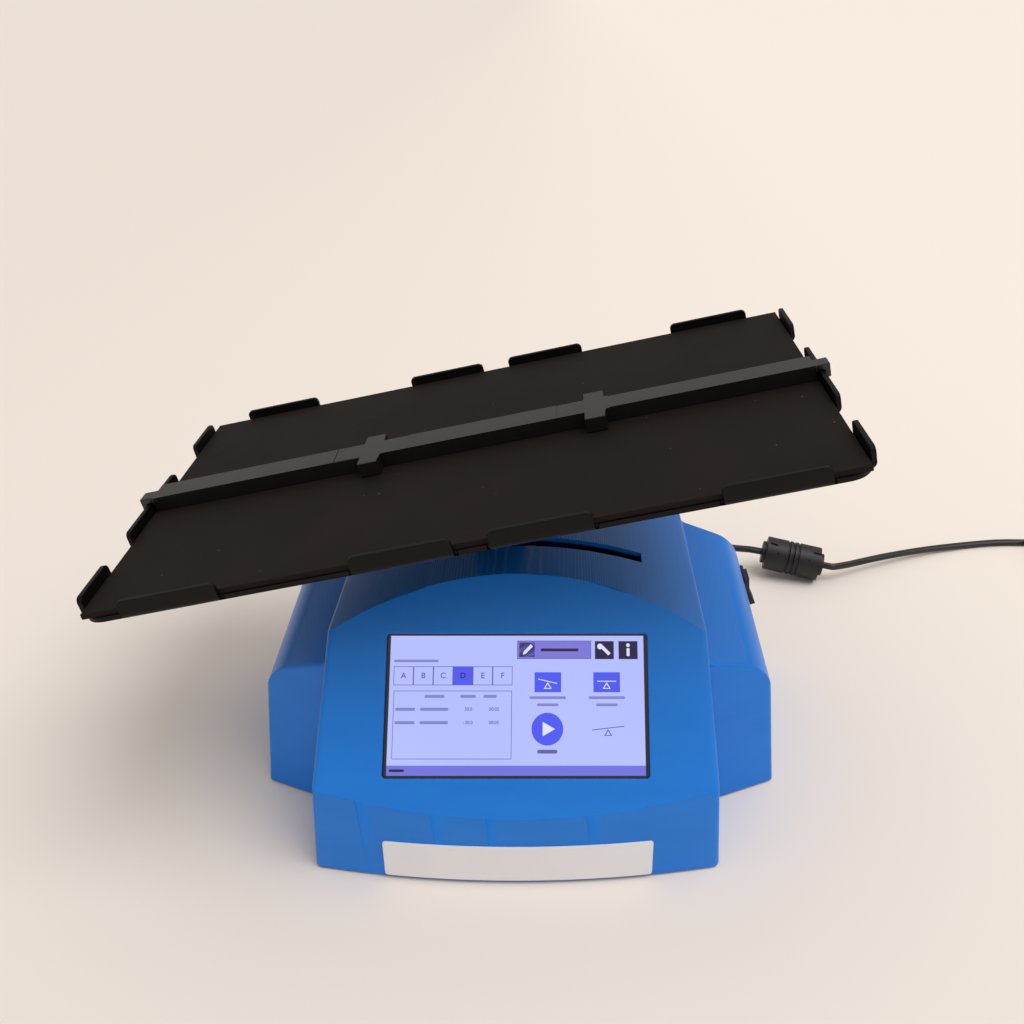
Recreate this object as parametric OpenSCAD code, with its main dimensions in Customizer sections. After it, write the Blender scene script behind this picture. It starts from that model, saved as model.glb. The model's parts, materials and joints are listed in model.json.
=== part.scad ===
// Rocking platform shaker: a tilting tray on a one-piece printed housing.
// Frame: origin on the table under the rocking axis, at the slot; +X right, +Y to the rear, +Z up.

/* [Platform] */
// Lean of the platform at rest, left side down
rest_lean = 12.25; // [8:0.25:15]
// Length of the tray sheet
tray_length = 431; // [425:1:440]
// Depth of the tray sheet
tray_depth = 255.5; // [252:0.5:262]
// Thickness of the tray sheet
tray_gauge = 3; // [2:0.5:4]
// Height of the turned-up tabs from the tray's underside
tab_height = 12.25; // [10:0.25:16]
// Length of each front and rear tab
tab_length = 56; // [40:1:60]
// Length of the rubber mat
mat_length = 429; // [420:1:430]
// Depth of the rubber mat
mat_depth = 253.5; // [249:0.5:254]
// Thickness of the rubber mat
mat_gauge = 3.5; // [2:0.5:4]
// Height of the tray's underside over the rocking axis
tray_lift = 119.4; // [116:0.2:124]

/* [Divider] */
// Width of the divider bar
divider_width = 20.2; // [16:0.2:22]
// Height of the divider bar over the mat
divider_height = 9.6; // [8:0.1:12]
// Width of each cross block
block_width = 13; // [10:0.5:16]
// Reach of each cross block to the front and the rear of the bar's centre line
block_reach = 20.5; // [16:0.5:24]

/* [Housing] */
// Width across the front nose at the table
nose_width = 249; // [240:1:256]
// Bulge of the front wall at its middle
nose_bulge = 11.65; // [8:0.05:14]
// Height of the lip below the display
lip_height = 64.8; // [60:0.2:70]
// Slope of the display face from level
display_slope = 50.4; // [46:0.2:54]
// Height of the arched top
crest_height = 162; // [160:0.5:166]
// Radius of the arched top
arch_radius = 255; // [250:1:262]
// Width across the side wings at the table
wing_width = 342.8; // [338:0.2:348]
// Radius of the wing's outer shoulder
shoulder_radius = 30; // [24:1:36]
// Wall thickness
wall = 3; // [2.4:0.2:4]

/* [Display] */
// Width of the display opening
opening_width = 158.5; // [155:0.5:162]
// Height of the display opening
opening_height = 84.5; // [82:0.5:90]

/* [Rocking drive] */
// Height of the rocking axis above the table
pivot_height = 104; // [102:0.5:106]
// Diameter of the rocking shaft
shaft_diameter = 10; // [8:1:12]
// Length of the slot in the arched top
slot_length = 160; // [140:2:164]
// Width of the slot in the arched top
slot_width = 12; // [12:0.5:16]
// Radius of the driven pulley
driven_radius = 30; // [24:1:32]
// Radius of the motor pulley
pinion_radius = 8; // [7:0.5:10]
// Width of the toothed belt
belt_width = 9; // [6:1:9]

/* [Cord] */
// Diameter of the cord
cord_diameter = 6; // [5:0.5:6]
// Diameter of the ferrite core's cover
ferrite_diameter = 30; // [28:1:32]

/* [Hidden] */
$fn = 96;

far = 400;              // half size of the blocks that stand for half-spaces
skin = 0.02;            // overrun of a cut past the face that it opens
fit_gap = 0.3;          // clearance between parts of one body

// Platform
tray_shift = 1;         // the sheet's middle lies this far to the right of the rocking axis
front_edge = -112.5;    // front edge of the mat
tab_gauge = 3;
tab_bend = 4;
tab_corner = 3.5;
tray_corner = 12;
tab_reach = 3;          // the tabs' outer faces stand this far outside the sheet
front_tabs = [-161.5, -32, 43.5, 166.5];
side_tabs = [[8, 45], [79, 162], [205, 245]];
mat_bottom = tray_lift + tray_gauge;
mat_top = mat_bottom + mat_gauge;
mat_middle = front_edge + mat_depth / 2;
sheet_middle = mat_middle;
left_end = tray_shift - tray_length / 2;
right_end = tray_shift + tray_length / 2;
front_end = sheet_middle - tray_depth / 2;
rear_end = sheet_middle + tray_depth / 2;

// Divider
divider_middle = 12.9;  // centre line of the bar, in Y
divider_rest = 0.3;     // the lift-off divider stands this far over the mat
left_block = -66.5;
right_block = 78;
arm_reach = 24;         // from a block's middle to the seam of its long arm
short_reach = 9.2;      // from the right block's middle to its right seam
tongue = [8, 8, 5];     // the cross arm's tongue in the bar's end
right_bar_width = 18.2;
hook_width = 10.4;
hook_gauge = 3.4;
hook_shift = -3.5;      // the hooks sit this far in front of the bar's centre line
hook_low = 0.6;

// Housing
underside = 1.5;        // the housing stands this high on its feet
nose_front = -120;
bulge_radius = ((nose_width / 2) ^ 2 + nose_bulge ^ 2) / (2 * nose_bulge);
bulge_middle = nose_front - nose_bulge + bulge_radius;
arch_middle = crest_height - arch_radius;
ridge_x = 116;
ridge_z = arch_middle + sqrt(arch_radius ^ 2 - ridge_x ^ 2);
wing_start = 115;
hollow_start = 108;

// A face is [heading, upward tip, a point on it]: a flat half-space that ends there.
nose_side = [0, 3.64, [nose_width / 2, 0, 0]];
display_face = [-90, 90 - display_slope, [0, nose_front, lip_height]];
rear_wall = [90, 3.8, [0, 95, 0]];
wing_outer = [0, 5.7, [wing_width / 2, 0, 0]];
wing_front = [-67.4, 2.5, [wing_width / 2, -46.4, 0]];
wing_crown = [-14.9, 67, [120.8, 86.6, 126.3]];
nose_corner = [-79.3, 0, [nose_width / 2, nose_front, 0]];
arch_edge = [0, asin((ridge_z - arch_middle) / arch_radius), [ridge_x, 0, ridge_z]];

// Display, on the sloped face: X across, Y up the slope, Z outward
opening_middle = 47.4;
panel_size = [166, 101, 6];
glass_gauge = 1.2;
seal_gap = 0.1;         // room for the seal between the housing and the glass
glass_back = -wall - seal_gap - glass_gauge;
panel_screw = [79, 47.5];

// Drive
slot_gap = 1;
arm_gauge = slot_width - 2 * slot_gap;
arm_width = 32;
arm_head = [64, 60];
plate_size = [150, 92, 4];
plate_screws = [60, 36];
head_screws = [24, 22];
hub_length = 20;
hub_diameter = 34;
running = 0.05;
stand_middle = 19;
stand_gauge = 10;
stand_width = 64;
bearing_diameter = 26;
bearing_length = 8;
pulley_middle = 34;
pulley_length = belt_width + 3;
motor_drop = 62;
motor_height = pivot_height - motor_drop;
motor_face = 46;
motor_square = 42.3;
motor_length = 40;
motor_shaft = 5;
belt_gauge = 1.6;
floor_top = underside + 3;

// Cord: route points chosen by hand, from the plug's tail to the coil, in millimetres
jack = [120, 28];
lead_route = [[120, 118, 28], [121, 140, 28], [126, 175, 27], [141, 208, 25], [168, 224, 23],
    [192, 223, 22.2], [211, 219, 21.6], [264, 207, 14.7], [281, 208, 13], [324, 228, 10],
    [368, 247, 6], [411, 260, 3.5], [448, 266, 3.2], [480, 266, 3.2], [512, 266, 3.2]];
ferrite_ends = [[211, 219, 21.6], [264, 207, 14.7]];
latch_turn = 205;       // the ferrite case's latch windows face up and to the front
latch_depth = 1.6;
coil_middle = [512, 230];
coil_radius = 33;
coil_height = 12;
tail_route = [[545, 230, 9], [545, 214, 9.2], [545, 198, 9], [543, 182, 11], [542, 168, 12]];
adapter_size = [46, 78, 32];
adapter_front = [542, 168, 12];

// ---------- shared geometry ----------

function normal_of(face) =
    [cos(face[1]) * cos(face[0]), cos(face[1]) * sin(face[0]), sin(face[1])];
function reach_of(face, inset = 0) = normal_of(face) * face[2] - inset;
function unit(v) = v / norm(v);

// Turns the child's +Z to a direction.
module aim(direction)
    rotate([0, acos(direction.z / norm(direction)), atan2(direction.y, direction.x)]) children();

// The half-space below a plane with this outward normal at this distance from the origin.
module below_plane(normal, reach)
    aim(normal) translate([-far, -far, reach - 2 * far]) cube(2 * far);

module behind(face, inset = 0) below_plane(normal_of(face), reach_of(face, inset));

// Everything inside the round that joins two faces: a chord plane and a cylinder tangent to both.
// With an inset it is the same round on a shell's inner side.
module eased_edge(face_a, face_b, radius, inset = 0) {
    a = normal_of(face_a);
    b = normal_of(face_b);
    overlap = a * b;
    depth_a = reach_of(face_a, radius);
    depth_b = reach_of(face_b, radius);
    centre = (a * (depth_a - overlap * depth_b) + b * (depth_b - overlap * depth_a))
        / (1 - overlap ^ 2);
    chord = unit(a + b);
    below_plane(chord, chord * centre + (radius - inset) * (chord * a));
    translate(centre) aim(cross(a, b)) translate([0, 0, -far]) cylinder(r = radius - inset, h = 2 * far);
}

// A screw with a countersunk or cylinder head, its head's top at the origin, pointing down.
module screw(shank, length, head, head_height) {
    translate([0, 0, -length]) cylinder(d = shank, h = length, $fn = 32);
    translate([0, 0, -head_height]) cylinder(d = head, h = head_height, $fn = 32);
}

// Four places at the corners of a rectangle with these half sides.
module at_corners(half)
    for (sx = [-1, 1], sy = [-1, 1]) translate([sx * half.x, sy * half.y, 0]) children();

module rounded_plate(size, corner) {
    linear_extrude(size.z) rounded_outline([size.x, size.y], corner);
}

// A centred rectangle with round corners, from circles and squares.
module rounded_outline(size, corner) {
    square([size.x - 2 * corner, size.y], center = true);
    square([size.x, size.y - 2 * corner], center = true);
    at_corners([size.x / 2 - corner, size.y / 2 - corner]) circle(corner, $fn = 48);
}

// ---------- housing ----------

module nose_form(inset) {
    intersection() {
        translate([0, bulge_middle, underside]) cylinder(r = bulge_radius - inset, h = far, $fn = 720);
        rotate([-90, 0, 0]) translate([0, -arch_middle, -far])
            cylinder(r = arch_radius - inset, h = 2 * far, $fn = 360);
        behind(nose_side, inset);
        mirror([1, 0, 0]) behind(nose_side, inset);
        behind(display_face, inset);
        behind(rear_wall, inset);
    }
}

module wing_form(inset, inner_x) {
    intersection() {
        translate([inner_x, -far / 2, underside]) cube([far, far, far]);
        behind(wing_outer, inset);
        behind(wing_front, inset);
        behind(wing_crown, inset);
        behind(rear_wall, inset);
    }
}

module eased_nose() {
    intersection() {
        nose_form(0);
        eased_side();
        mirror([1, 0, 0]) eased_side();
    }
}

module eased_side() {
    intersection() {
        eased_edge(nose_side, nose_corner, 5);
        eased_edge(nose_side, display_face, 4);
        eased_edge(nose_side, arch_edge, 3);
    }
}

// The round that fills the inside corner between the wing's top and the nose's side.
module inside_round(face_a, face_b, radius) {
    a = normal_of(face_a);
    b = normal_of(face_b);
    overlap = a * b;
    far_a = reach_of(face_a, -radius);
    far_b = reach_of(face_b, -radius);
    centre = (a * (far_a - overlap * far_b) + b * (far_b - overlap * far_a)) / (1 - overlap ^ 2);
    chord = unit(a + b);
    difference() {
        intersection() {
            below_plane(chord, chord * centre - radius * (chord * a));
            below_plane(-a, 1 - reach_of(face_a));
            below_plane(-b, 1 - reach_of(face_b));
            behind(rear_wall);
            behind(display_face);
            behind(wing_front);
        }
        translate(centre) aim(cross(a, b)) translate([0, 0, -far]) cylinder(r = radius, h = 2 * far);
    }
}

module wing_hollow() {
    intersection() {
        wing_form(wall, hollow_start);
        eased_edge(wing_outer, wing_crown, shoulder_radius, wall);
    }
}

module eased_wing() {
    intersection() {
        wing_form(0, wing_start);
        eased_edge(wing_outer, wing_crown, shoulder_radius);
        eased_edge(wing_front, wing_crown, 5);
        eased_edge(wing_front, wing_outer, 4);
    }
}

// The bosses that take the base screws stand on the base plate, against the walls.
boss_places = [[-112, -105], [112, -105], [-154, -22], [154, -22], [-150, 78], [150, 78],
    [-60, 80], [60, 80]];
boss_height = 22;

// Places the child on the display face: X across, Y up the slope from the lip, Z outward.
module on_display() translate([0, nose_front, lip_height]) rotate([display_slope, 0, 0]) children();

module housing_shell() {
    color("dodgerblue") difference() {
        union() {
            difference() {
                union() {
                    eased_nose();
                    eased_wing();
                    mirror([1, 0, 0]) eased_wing();
                    inside_round(nose_side, wing_crown, 6);
                    mirror([1, 0, 0]) inside_round(nose_side, wing_crown, 6);
                }
                translate([0, 0, -2 * skin]) {
                    nose_form(wall);
                    wing_hollow();
                    mirror([1, 0, 0]) wing_hollow();
                }
            }
            housing_bosses();
            panel_posts();
        }
        display_opening();
        translate([-slot_length / 2, -slot_width / 2, crest_height - 60])
            cube([slot_length, slot_width, 80]);
        boss_bores();
        panel_bores();
        jack_opening();
        switch_opening();
    }
}

module housing_bosses() {
    intersection() {
        for (place = boss_places) translate([place.x, place.y, floor_top + fit_gap])
            cylinder(d = 11, h = boss_height, $fn = 48);
        union() {
            nose_form(wall / 2);
            wing_form(wall / 2, wing_start);
            mirror([1, 0, 0]) wing_form(wall / 2, wing_start);
        }
    }
    for (place = boss_places) boss_web(place);
}

// A web ties each boss to the nearest wall.
module boss_web(place) {
    side = abs(place.x) < wing_start - 10 ? [0, 1] : [sign(place.x), 0];
    intersection() {
        translate([place.x, place.y, floor_top + fit_gap])
            rotate([0, 0, atan2(side.y, side.x)]) translate([0, -1.5, 0]) cube([30, 3, boss_height]);
        union() {
            nose_form(wall / 2);
            wing_form(wall / 2, wing_start);
            mirror([1, 0, 0]) wing_form(wall / 2, wing_start);
        }
    }
}

module boss_bores()
    for (place = boss_places) translate([place.x, place.y, floor_top]) cylinder(d = 3, h = 16, $fn = 32);

module display_opening()
    on_display() translate([0, opening_middle, -wall - 1])
        rounded_plate([opening_width, opening_height, wall + 2], 2);

// Posts behind the display face hold the panel by its four corners.
module panel_posts()
    on_display() translate([0, opening_middle, glass_back])
        at_corners(panel_screw) cylinder(d = 6, h = wall, $fn = 32);

module panel_bores()
    on_display() translate([0, opening_middle, glass_back - skin])
        at_corners(panel_screw) cylinder(d = 2.5, h = 3, $fn = 32);

module jack_opening()
    translate([jack.x, 60, jack.y]) rotate([-90, 0, 0]) cylinder(d = 12, h = 60, $fn = 48);

// ---------- base ----------

module base_plate() {
    color("silver") difference() {
        intersection() {
            translate([-far / 2, -far / 2, underside]) cube([far, far, 3]);
            union() {
                nose_form(wall + fit_gap);
                wing_form(wall + fit_gap, hollow_start);
                mirror([1, 0, 0]) wing_form(wall + fit_gap, hollow_start);
            }
        }
        for (place = boss_places) sunk_hole(place, 3.4, 6.2);
        for (place = concat(stand_screw_places, bracket_screw_places)) sunk_hole(place, 4.3, 8.4);
    }
}

// A hole through the base plate with a recess for a flat head on its underside.
module sunk_hole(place, shank, head)
    translate([place.x, place.y, underside]) {
        translate([0, 0, -1]) cylinder(d = shank, h = 6, $fn = 32);
        translate([0, 0, -1]) cylinder(d = head, h = 2.7, $fn = 32);
    }

foot_places = [[-100, -98], [100, -98], [-140, 60], [140, 60], [0, 0]];

module rubber_feet()
    color("black") for (place = foot_places) translate([place.x, place.y, 0])
        cylinder(d = 18, h = underside);

module base_screws()
    color("silver") for (place = boss_places) translate([place.x, place.y, underside + 0.2])
        rotate([180, 0, 0]) screw(2.98, 14, 5.8, 1.4);

module label_plate()
    color("gainsboro") intersection() {
        translate([0, bulge_middle, 0]) difference() {
            cylinder(r = bulge_radius + 1.2, h = 60, $fn = 720);
            translate([0, 0, -1]) cylinder(r = bulge_radius, h = 62, $fn = 720);
        }
        translate([1, -100, 16.5]) rotate([90, 0, 0]) rounded_plate([162, 27, 60], 2);
    }

// ---------- display ----------

module display_glass()
    color("lavender") on_display() translate([0, opening_middle, glass_back])
        cube_centred([panel_size.x, panel_size.y - 14, glass_gauge]);

module cube_centred(size) translate([-size.x / 2, -size.y / 2, 0]) cube(size);

module display_panel()
    color("darkslategray") on_display() translate([0, opening_middle, 0]) {
        difference() {
            translate([0, 0, glass_back - panel_size.z]) union() {
                cube_centred(panel_size);
                translate([0, 0, -7]) cube_centred([120, 76, 7]);
                translate([-30, -20, -16]) cube([50, 14, 9]);
            }
            translate([0, 0, glass_back - 9]) at_corners(panel_screw) cylinder(d = 2.9, h = 20, $fn = 32);
        }
    }

module display_screws()
    color("silver") on_display()
        translate([0, opening_middle, glass_back - panel_size.z - 1.6])
            at_corners(panel_screw) rotate([180, 0, 0]) screw(2.48, 10, 5, 1.6);

// ---------- electronics ----------

board_corner = [-117, -67];
board_places = [for (dx = [5, 75], dy = [5, 55]) board_corner + [dx, dy]];
board_top = floor_top + 8;

module board_standoffs()
    color("goldenrod") for (place = board_places) translate([place.x, place.y, floor_top])
        difference() {
            cylinder(d = 6, h = 8, $fn = 6);
            translate([0, 0, 2]) cylinder(d = 3, h = 10, $fn = 32);
        }

module board_screws()
    color("silver") for (place = board_places) translate([place.x, place.y, board_top + 3.8])
        screw(2.98, 8.5, 5.5, 2.2);

module controller_board()
    color("darkgreen") difference() {
        translate([board_corner.x, board_corner.y, board_top]) union() {
            cube([80, 60, 1.6]);
            translate([8, 16, 1.6]) cube([22, 22, 9]);
            translate([40, 20, 1.6]) cube([16, 16, 1.8]);
            translate([64, 14, 1.6]) cube([9, 30, 8]);
            for (step = [0:2]) translate([14 + step * 14, 50, 1.6]) cylinder(d = 8, h = 11, $fn = 32);
        }
        for (place = board_places) translate([place.x, place.y, board_top - 1]) cylinder(d = 3, h = 16, $fn = 32);
    }

// ---------- drive ----------

stand_screw_places = [[-26, -19], [26, -19], [-26, 19], [26, 19]];
bracket_screw_places = [[-30, 56], [30, 56]];

module bearing_stand(side) {
    color("lightslategray") difference() {
        translate([0, side * stand_middle + stand_gauge / 2, 0]) rotate([90, 0, 0])
            linear_extrude(stand_gauge) stand_outline();
        translate([0, side * stand_middle, pivot_height]) rotate([90, 0, 0]) {
            translate([0, 0, -far / 2]) cylinder(d = shaft_diameter + 6, h = far);
            rotate([side > 0 ? 0 : 180, 0, 0]) translate([0, 0, -stand_gauge / 2 - 1])
                cylinder(d = bearing_diameter, h = bearing_length + 1);
        }
        for (sx = [-1, 1]) translate([sx * 26, side * stand_middle, floor_top - 1])
            cylinder(d = 3.98, h = 12, $fn = 32);
    }
}

// The stand's outline: a foot, a tapering web with a window, and a round head.
module stand_outline() {
    difference() {
        union() {
            translate([-stand_width / 2, floor_top]) square([stand_width, 14]);
            polygon([[-stand_width / 2, floor_top + 14], [stand_width / 2, floor_top + 14],
                [21, pivot_height], [-21, pivot_height]]);
            translate([0, pivot_height]) circle(21);
        }
        polygon([[-18, floor_top + 24], [18, floor_top + 24], [11, pivot_height - 26],
            [-11, pivot_height - 26]]);
    }
}

module bearing_stand_front() bearing_stand(-1);
module bearing_stand_rear() bearing_stand(1);

module bearing(side)
    color("silver") translate([0, side * (stand_middle + 1), pivot_height]) rotate([90, 0, 0])
        translate([0, 0, -bearing_length / 2]) difference() {
            cylinder(d = bearing_diameter, h = bearing_length);
            translate([0, 0, -1]) cylinder(r = shaft_diameter / 2 + running, h = bearing_length + 2);
            for (end = [-1, bearing_length - 0.6]) translate([0, 0, end]) difference() {
                cylinder(d = 21, h = 1.6);
                translate([0, 0, -1]) cylinder(d = 15, h = 4);
            }
        }

module bearing_front() bearing(-1);
module bearing_rear() bearing(1);

module stand_screws()
    color("silver") for (place = stand_screw_places) translate([place.x, place.y, underside + 0.2])
        rotate([180, 0, 0]) screw(3.98, 12, 8, 1.4);

module bracket_screws()
    color("silver") for (place = bracket_screw_places) translate([place.x, place.y, underside + 0.2])
        rotate([180, 0, 0]) screw(3.98, 6, 8, 1.4);

module stepper_motor()
    color("dimgray") translate([0, motor_face, motor_height]) rotate([-90, 0, 0]) {
        difference() {
            linear_extrude(motor_length) intersection() {
                square(motor_square, center = true);
                rotate(45) square(54, center = true);
            }
            at_corners([15.5, 15.5]) translate([0, 0, -1]) cylinder(d = 3, h = 6, $fn = 32);
            translate([0, 0, -1]) cylinder(d = motor_shaft + 2 * running, h = 6, $fn = 48);
        }
        difference() {
            translate([0, 0, -2]) cylinder(d = 22, h = 2.1);
            translate([0, 0, -3]) cylinder(d = motor_shaft + 2 * running, h = 6, $fn = 48);
        }
        translate([-8, -motor_square / 2 - 5, motor_length - 10]) cube([16, 5.5, 9]);
    }

module motor_bracket()
    color("silver") difference() {
        union() {
            translate([-40, motor_face - 3, floor_top]) cube([80, 3, motor_height - floor_top + 24]);
            translate([-40, motor_face - 3, floor_top]) cube([80, 22, 3]);
        }
        translate([0, motor_face, motor_height]) rotate([90, 0, 0]) {
            translate([0, 0, -2]) cylinder(d = 22.2, h = 10);
            translate([0, 0, -2]) at_corners([15.5, 15.5]) cylinder(d = 3.2, h = 10, $fn = 32);
        }
        translate([-motor_square / 2 - 1, motor_face, floor_top - 1])
            cube([motor_square + 2, 30, 5]);
        for (place = bracket_screw_places) translate([place.x, place.y, floor_top - 1])
            cylinder(d = 3.98, h = 6, $fn = 32);
    }

module motor_screws()
    color("silver") translate([0, motor_face - 3, motor_height]) rotate([90, 0, 0])
        at_corners([15.5, 15.5]) translate([0, 0, 2.8]) screw(2.98, 9, 5.5, 2.8);

// A belt pulley: a barrel between two flanges, with a bore and a hub.
module pulley(radius, bore) {
    difference() {
        union() {
            cylinder(r = radius, h = pulley_length);
            cylinder(r = radius + 2, h = 1.2);
            translate([0, 0, pulley_length - 1.2]) cylinder(r = radius + 2, h = 1.2);
        }
        translate([0, 0, -1]) cylinder(d = bore, h = pulley_length + 2);
    }
}

module on_axis(height, middle, length)
    translate([0, middle - length / 2, height]) rotate([-90, 0, 0]) children();

module motor_pulley()
    color("gray") {
        on_axis(motor_height, pulley_middle, pulley_length) pulley(pinion_radius, motor_shaft - 1);
        translate([0, motor_face + 3, motor_height]) rotate([90, 0, 0])
            cylinder(d = motor_shaft, h = 23, $fn = 48);
    }

module driven_pulley()
    color("gray") on_axis(pivot_height, pulley_middle, pulley_length) difference() {
        pulley(driven_radius, shaft_diameter);
        for (turn = [0:60:300]) rotate(turn) translate([18, 0, -1]) cylinder(d = 9, h = 20, $fn = 48);
    }

// The belt: an arc round each pulley and two straight runs along their common tangents.
belt_lean = asin((driven_radius - pinion_radius) / motor_drop);

// Points of the belt's line round both pulleys, at this distance from their barrels.
function belt_line(gap) = concat(
    [for (step = [0:48]) (driven_radius + gap) * heading(-belt_lean + step * (180 + 2 * belt_lean) / 48)],
    [for (step = [0:24]) [0, -motor_drop]
        + (pinion_radius + gap) * heading(180 + belt_lean + step * (180 - 2 * belt_lean) / 24)]);
function heading(angle) = [cos(angle), sin(angle)];

module drive_belt() {
    outer = belt_line(running + belt_gauge);
    inner = belt_line(running);
    count = len(outer);
    color("black") translate([0, pulley_middle + belt_width / 2, pivot_height]) rotate([90, 0, 0])
        linear_extrude(belt_width)
            polygon(concat(outer, inner), [[for (i = [0:count - 1]) i], [for (i = [0:count - 1]) count + i]]);
}

module rocker_shaft()
    color("silver") translate([0, -32, pivot_height]) rotate([-90, 0, 0])
        cylinder(d = shaft_diameter, h = 73);

// The platform's own frame: origin on the rocking axis, X along the tray, Z square to it.
module on_rocker() translate([0, 0, pivot_height]) rotate([0, -rest_lean, 0]) children();

module rocker_arm()
    color("dimgray") on_rocker() difference() {
        union() {
            rotate([90, 0, 0]) translate([0, 0, -arm_gauge / 2]) linear_extrude(arm_gauge) arm_outline();
            rotate([90, 0, 0]) translate([0, 0, -hub_length / 2]) cylinder(d = hub_diameter, h = hub_length);
            translate([0, 0, tray_lift - plate_size.z - 5]) cube_centred([arm_head.x, arm_head.y, 5]);
            for (side = [-1, 1]) head_gusset(side);
        }
        rotate([90, 0, 0]) translate([0, 0, -far / 2]) cylinder(d = shaft_diameter, h = far);
        for (sy = [-1, 1]) translate([0, sy * 7, -30]) cylinder(d = 3.98, h = 26, $fn = 32);
        translate([0, 0, tray_lift - 20]) at_corners(head_screws) cylinder(d = 3.98, h = 20, $fn = 32);
    }

module arm_outline() {
    top = tray_lift - plate_size.z - 2;
    translate([-arm_width / 2, 0]) square([arm_width, top]);
    polygon([[-arm_head.x / 2, top], [arm_head.x / 2, top], [arm_width / 2, top - 22],
        [-arm_width / 2, top - 22]]);
}

// Two ribs carry the arm's head to the front and the rear.
module head_gusset(side) {
    top = tray_lift - plate_size.z - 5;
    translate([-3, 0, 0]) rotate([90, 0, 90]) linear_extrude(6)
        polygon([[side * arm_gauge / 2, top - 16], [side * arm_gauge / 2, top + 1],
            [side * (arm_head.y / 2 - 2), top + 1], [side * (arm_head.y / 2 - 2), top - 1]]);
}

module arm_clamp_screws()
    color("silver") on_rocker() for (sy = [-1, 1]) translate([0, sy * 7, -17.5])
        rotate([180, 0, 0]) screw(3.98, 12.5, 3.99, 1);

module sensor_magnet()
    color("silver") translate([0, -32, pivot_height]) rotate([90, 0, 0]) cylinder(d = 8, h = 2.5);

module position_sensor()
    color("darkgreen") translate([0, -38, pivot_height]) rotate([90, 0, 0]) {
        translate([-11, -11, 0]) cube([22, 22, 1.6]);
        translate([-3, -2.5, -1.4]) cube([6, 5, 1.4]);
        translate([-5, 4, 1.6]) cube([10, 5, 5]);
    }

module sensor_bracket()
    color("silver") difference() {
        union() {
            translate([-14, -41.1, pivot_height - 30]) cube([28, 1.5, 34]);
            translate([-14, -41.1, pivot_height - 30]) cube([28, 17.1, 1.5]);
            translate([-14, -25.5, pivot_height - 30]) cube([28, 1.5, 9]);
        }
        translate([0, -50, pivot_height]) rotate([-90, 0, 0]) cylinder(d = 18, h = 12);
    }

// ---------- platform ----------

module mount_plate()
    color("black") on_rocker() difference() {
        translate([0, 0, tray_lift - plate_size.z]) rounded_plate(plate_size, 8);
        translate([0, 0, tray_lift - 10]) at_corners(plate_screws) cylinder(d = 3.98, h = 20, $fn = 32);
        translate([0, 0, tray_lift - 10]) at_corners(head_screws) cylinder(d = 4.3, h = 20, $fn = 32);
        translate([0, 0, tray_lift - 2.4]) at_corners(head_screws) cylinder(d = 8, h = 3, $fn = 32);
    }

module mount_screws()
    color("silver") on_rocker() translate([0, 0, tray_lift - 0.2]) at_corners(head_screws)
        screw(3.98, 12, 7.6, 2.2);

// Section of a bent tab: outer face at X = 0, underside at Y = 0, the sheet running to -X.
module tab_section(flange) {
    translate([-flange, 0]) square([flange - tab_bend, tray_gauge]);
    translate([-tab_gauge, tab_bend]) square([tab_gauge, tab_height - tab_bend]);
    intersection() {
        translate([-tab_bend, tab_bend]) difference() {
            circle(tab_bend);
            circle(tab_bend - tab_gauge);
        }
        translate([-tab_bend, 0]) square(tab_bend);
    }
}

// A tab along Y, its outer face at X = 0, with round upper corners.
module bent_tab(length) {
    intersection() {
        rotate([90, 0, 0]) translate([0, 0, -length / 2]) linear_extrude(length) tab_section(8);
        rotate([90, 0, 90]) translate([0, 0, -20]) linear_extrude(40) union() {
            translate([-length / 2, -1]) square([length, tab_height - tab_corner + 1]);
            translate([-length / 2 + tab_corner, 0]) square([length - 2 * tab_corner, tab_height]);
            for (end = [-1, 1]) translate([end * (length / 2 - tab_corner), tab_height - tab_corner])
                circle(tab_corner, $fn = 32);
        }
    }
}

module tray()
    color([0.1, 0.1, 0.1]) on_rocker() translate([0, 0, tray_lift]) difference() {
        union() {
            translate([tray_shift, sheet_middle, 0])
                rounded_plate([tray_length, tray_depth, tray_gauge], tray_corner);
            for (place = front_tabs) {
                translate([place, front_end - tab_reach, 0]) rotate(-90) bent_tab(tab_length);
                translate([place, rear_end + tab_reach, 0]) rotate(90) bent_tab(tab_length);
            }
            for (span = side_tabs) {
                translate([right_end + tab_reach, front_edge + (span[0] + span[1]) / 2, 0])
                    bent_tab(span[1] - span[0]);
                translate([left_end - tab_reach, front_edge + (span[0] + span[1]) / 2, 0])
                    rotate(180) bent_tab(span[1] - span[0]);
            }
        }
        tab_reliefs();
        at_corners(plate_screws) translate([0, 0, -1]) cylinder(d = 4.3, h = 10, $fn = 32);
        at_corners(plate_screws) translate([0, 0, 1]) cylinder(d = 8, h = 10, $fn = 32);
    }

// A small round-ended relief at both ends of each bend.
module tab_reliefs() {
    for (place = front_tabs, end = [-1, 1]) {
        translate([place + end * (tab_length / 2 + 1), front_end, -1]) cylinder(d = 2, h = 6, $fn = 24);
        translate([place + end * (tab_length / 2 + 1), rear_end, -1]) cylinder(d = 2, h = 6, $fn = 24);
    }
    for (span = side_tabs, place = [span[0] - 1, span[1] + 1]) {
        translate([left_end, front_edge + place, -1]) cylinder(d = 2, h = 6, $fn = 24);
        translate([right_end, front_edge + place, -1]) cylinder(d = 2, h = 6, $fn = 24);
    }
}

module tray_screws()
    color("silver") on_rocker() translate([0, 0, tray_lift + tray_gauge - 0.2])
        at_corners(plate_screws) screw(3.98, 6.6, 7.6, 1.8);

module tray_mat()
    color([0.14, 0.14, 0.14]) on_rocker()
        translate([tray_shift, mat_middle, mat_bottom]) cube_centred([mat_length, mat_depth, mat_gauge]);

// ---------- divider ----------

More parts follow.
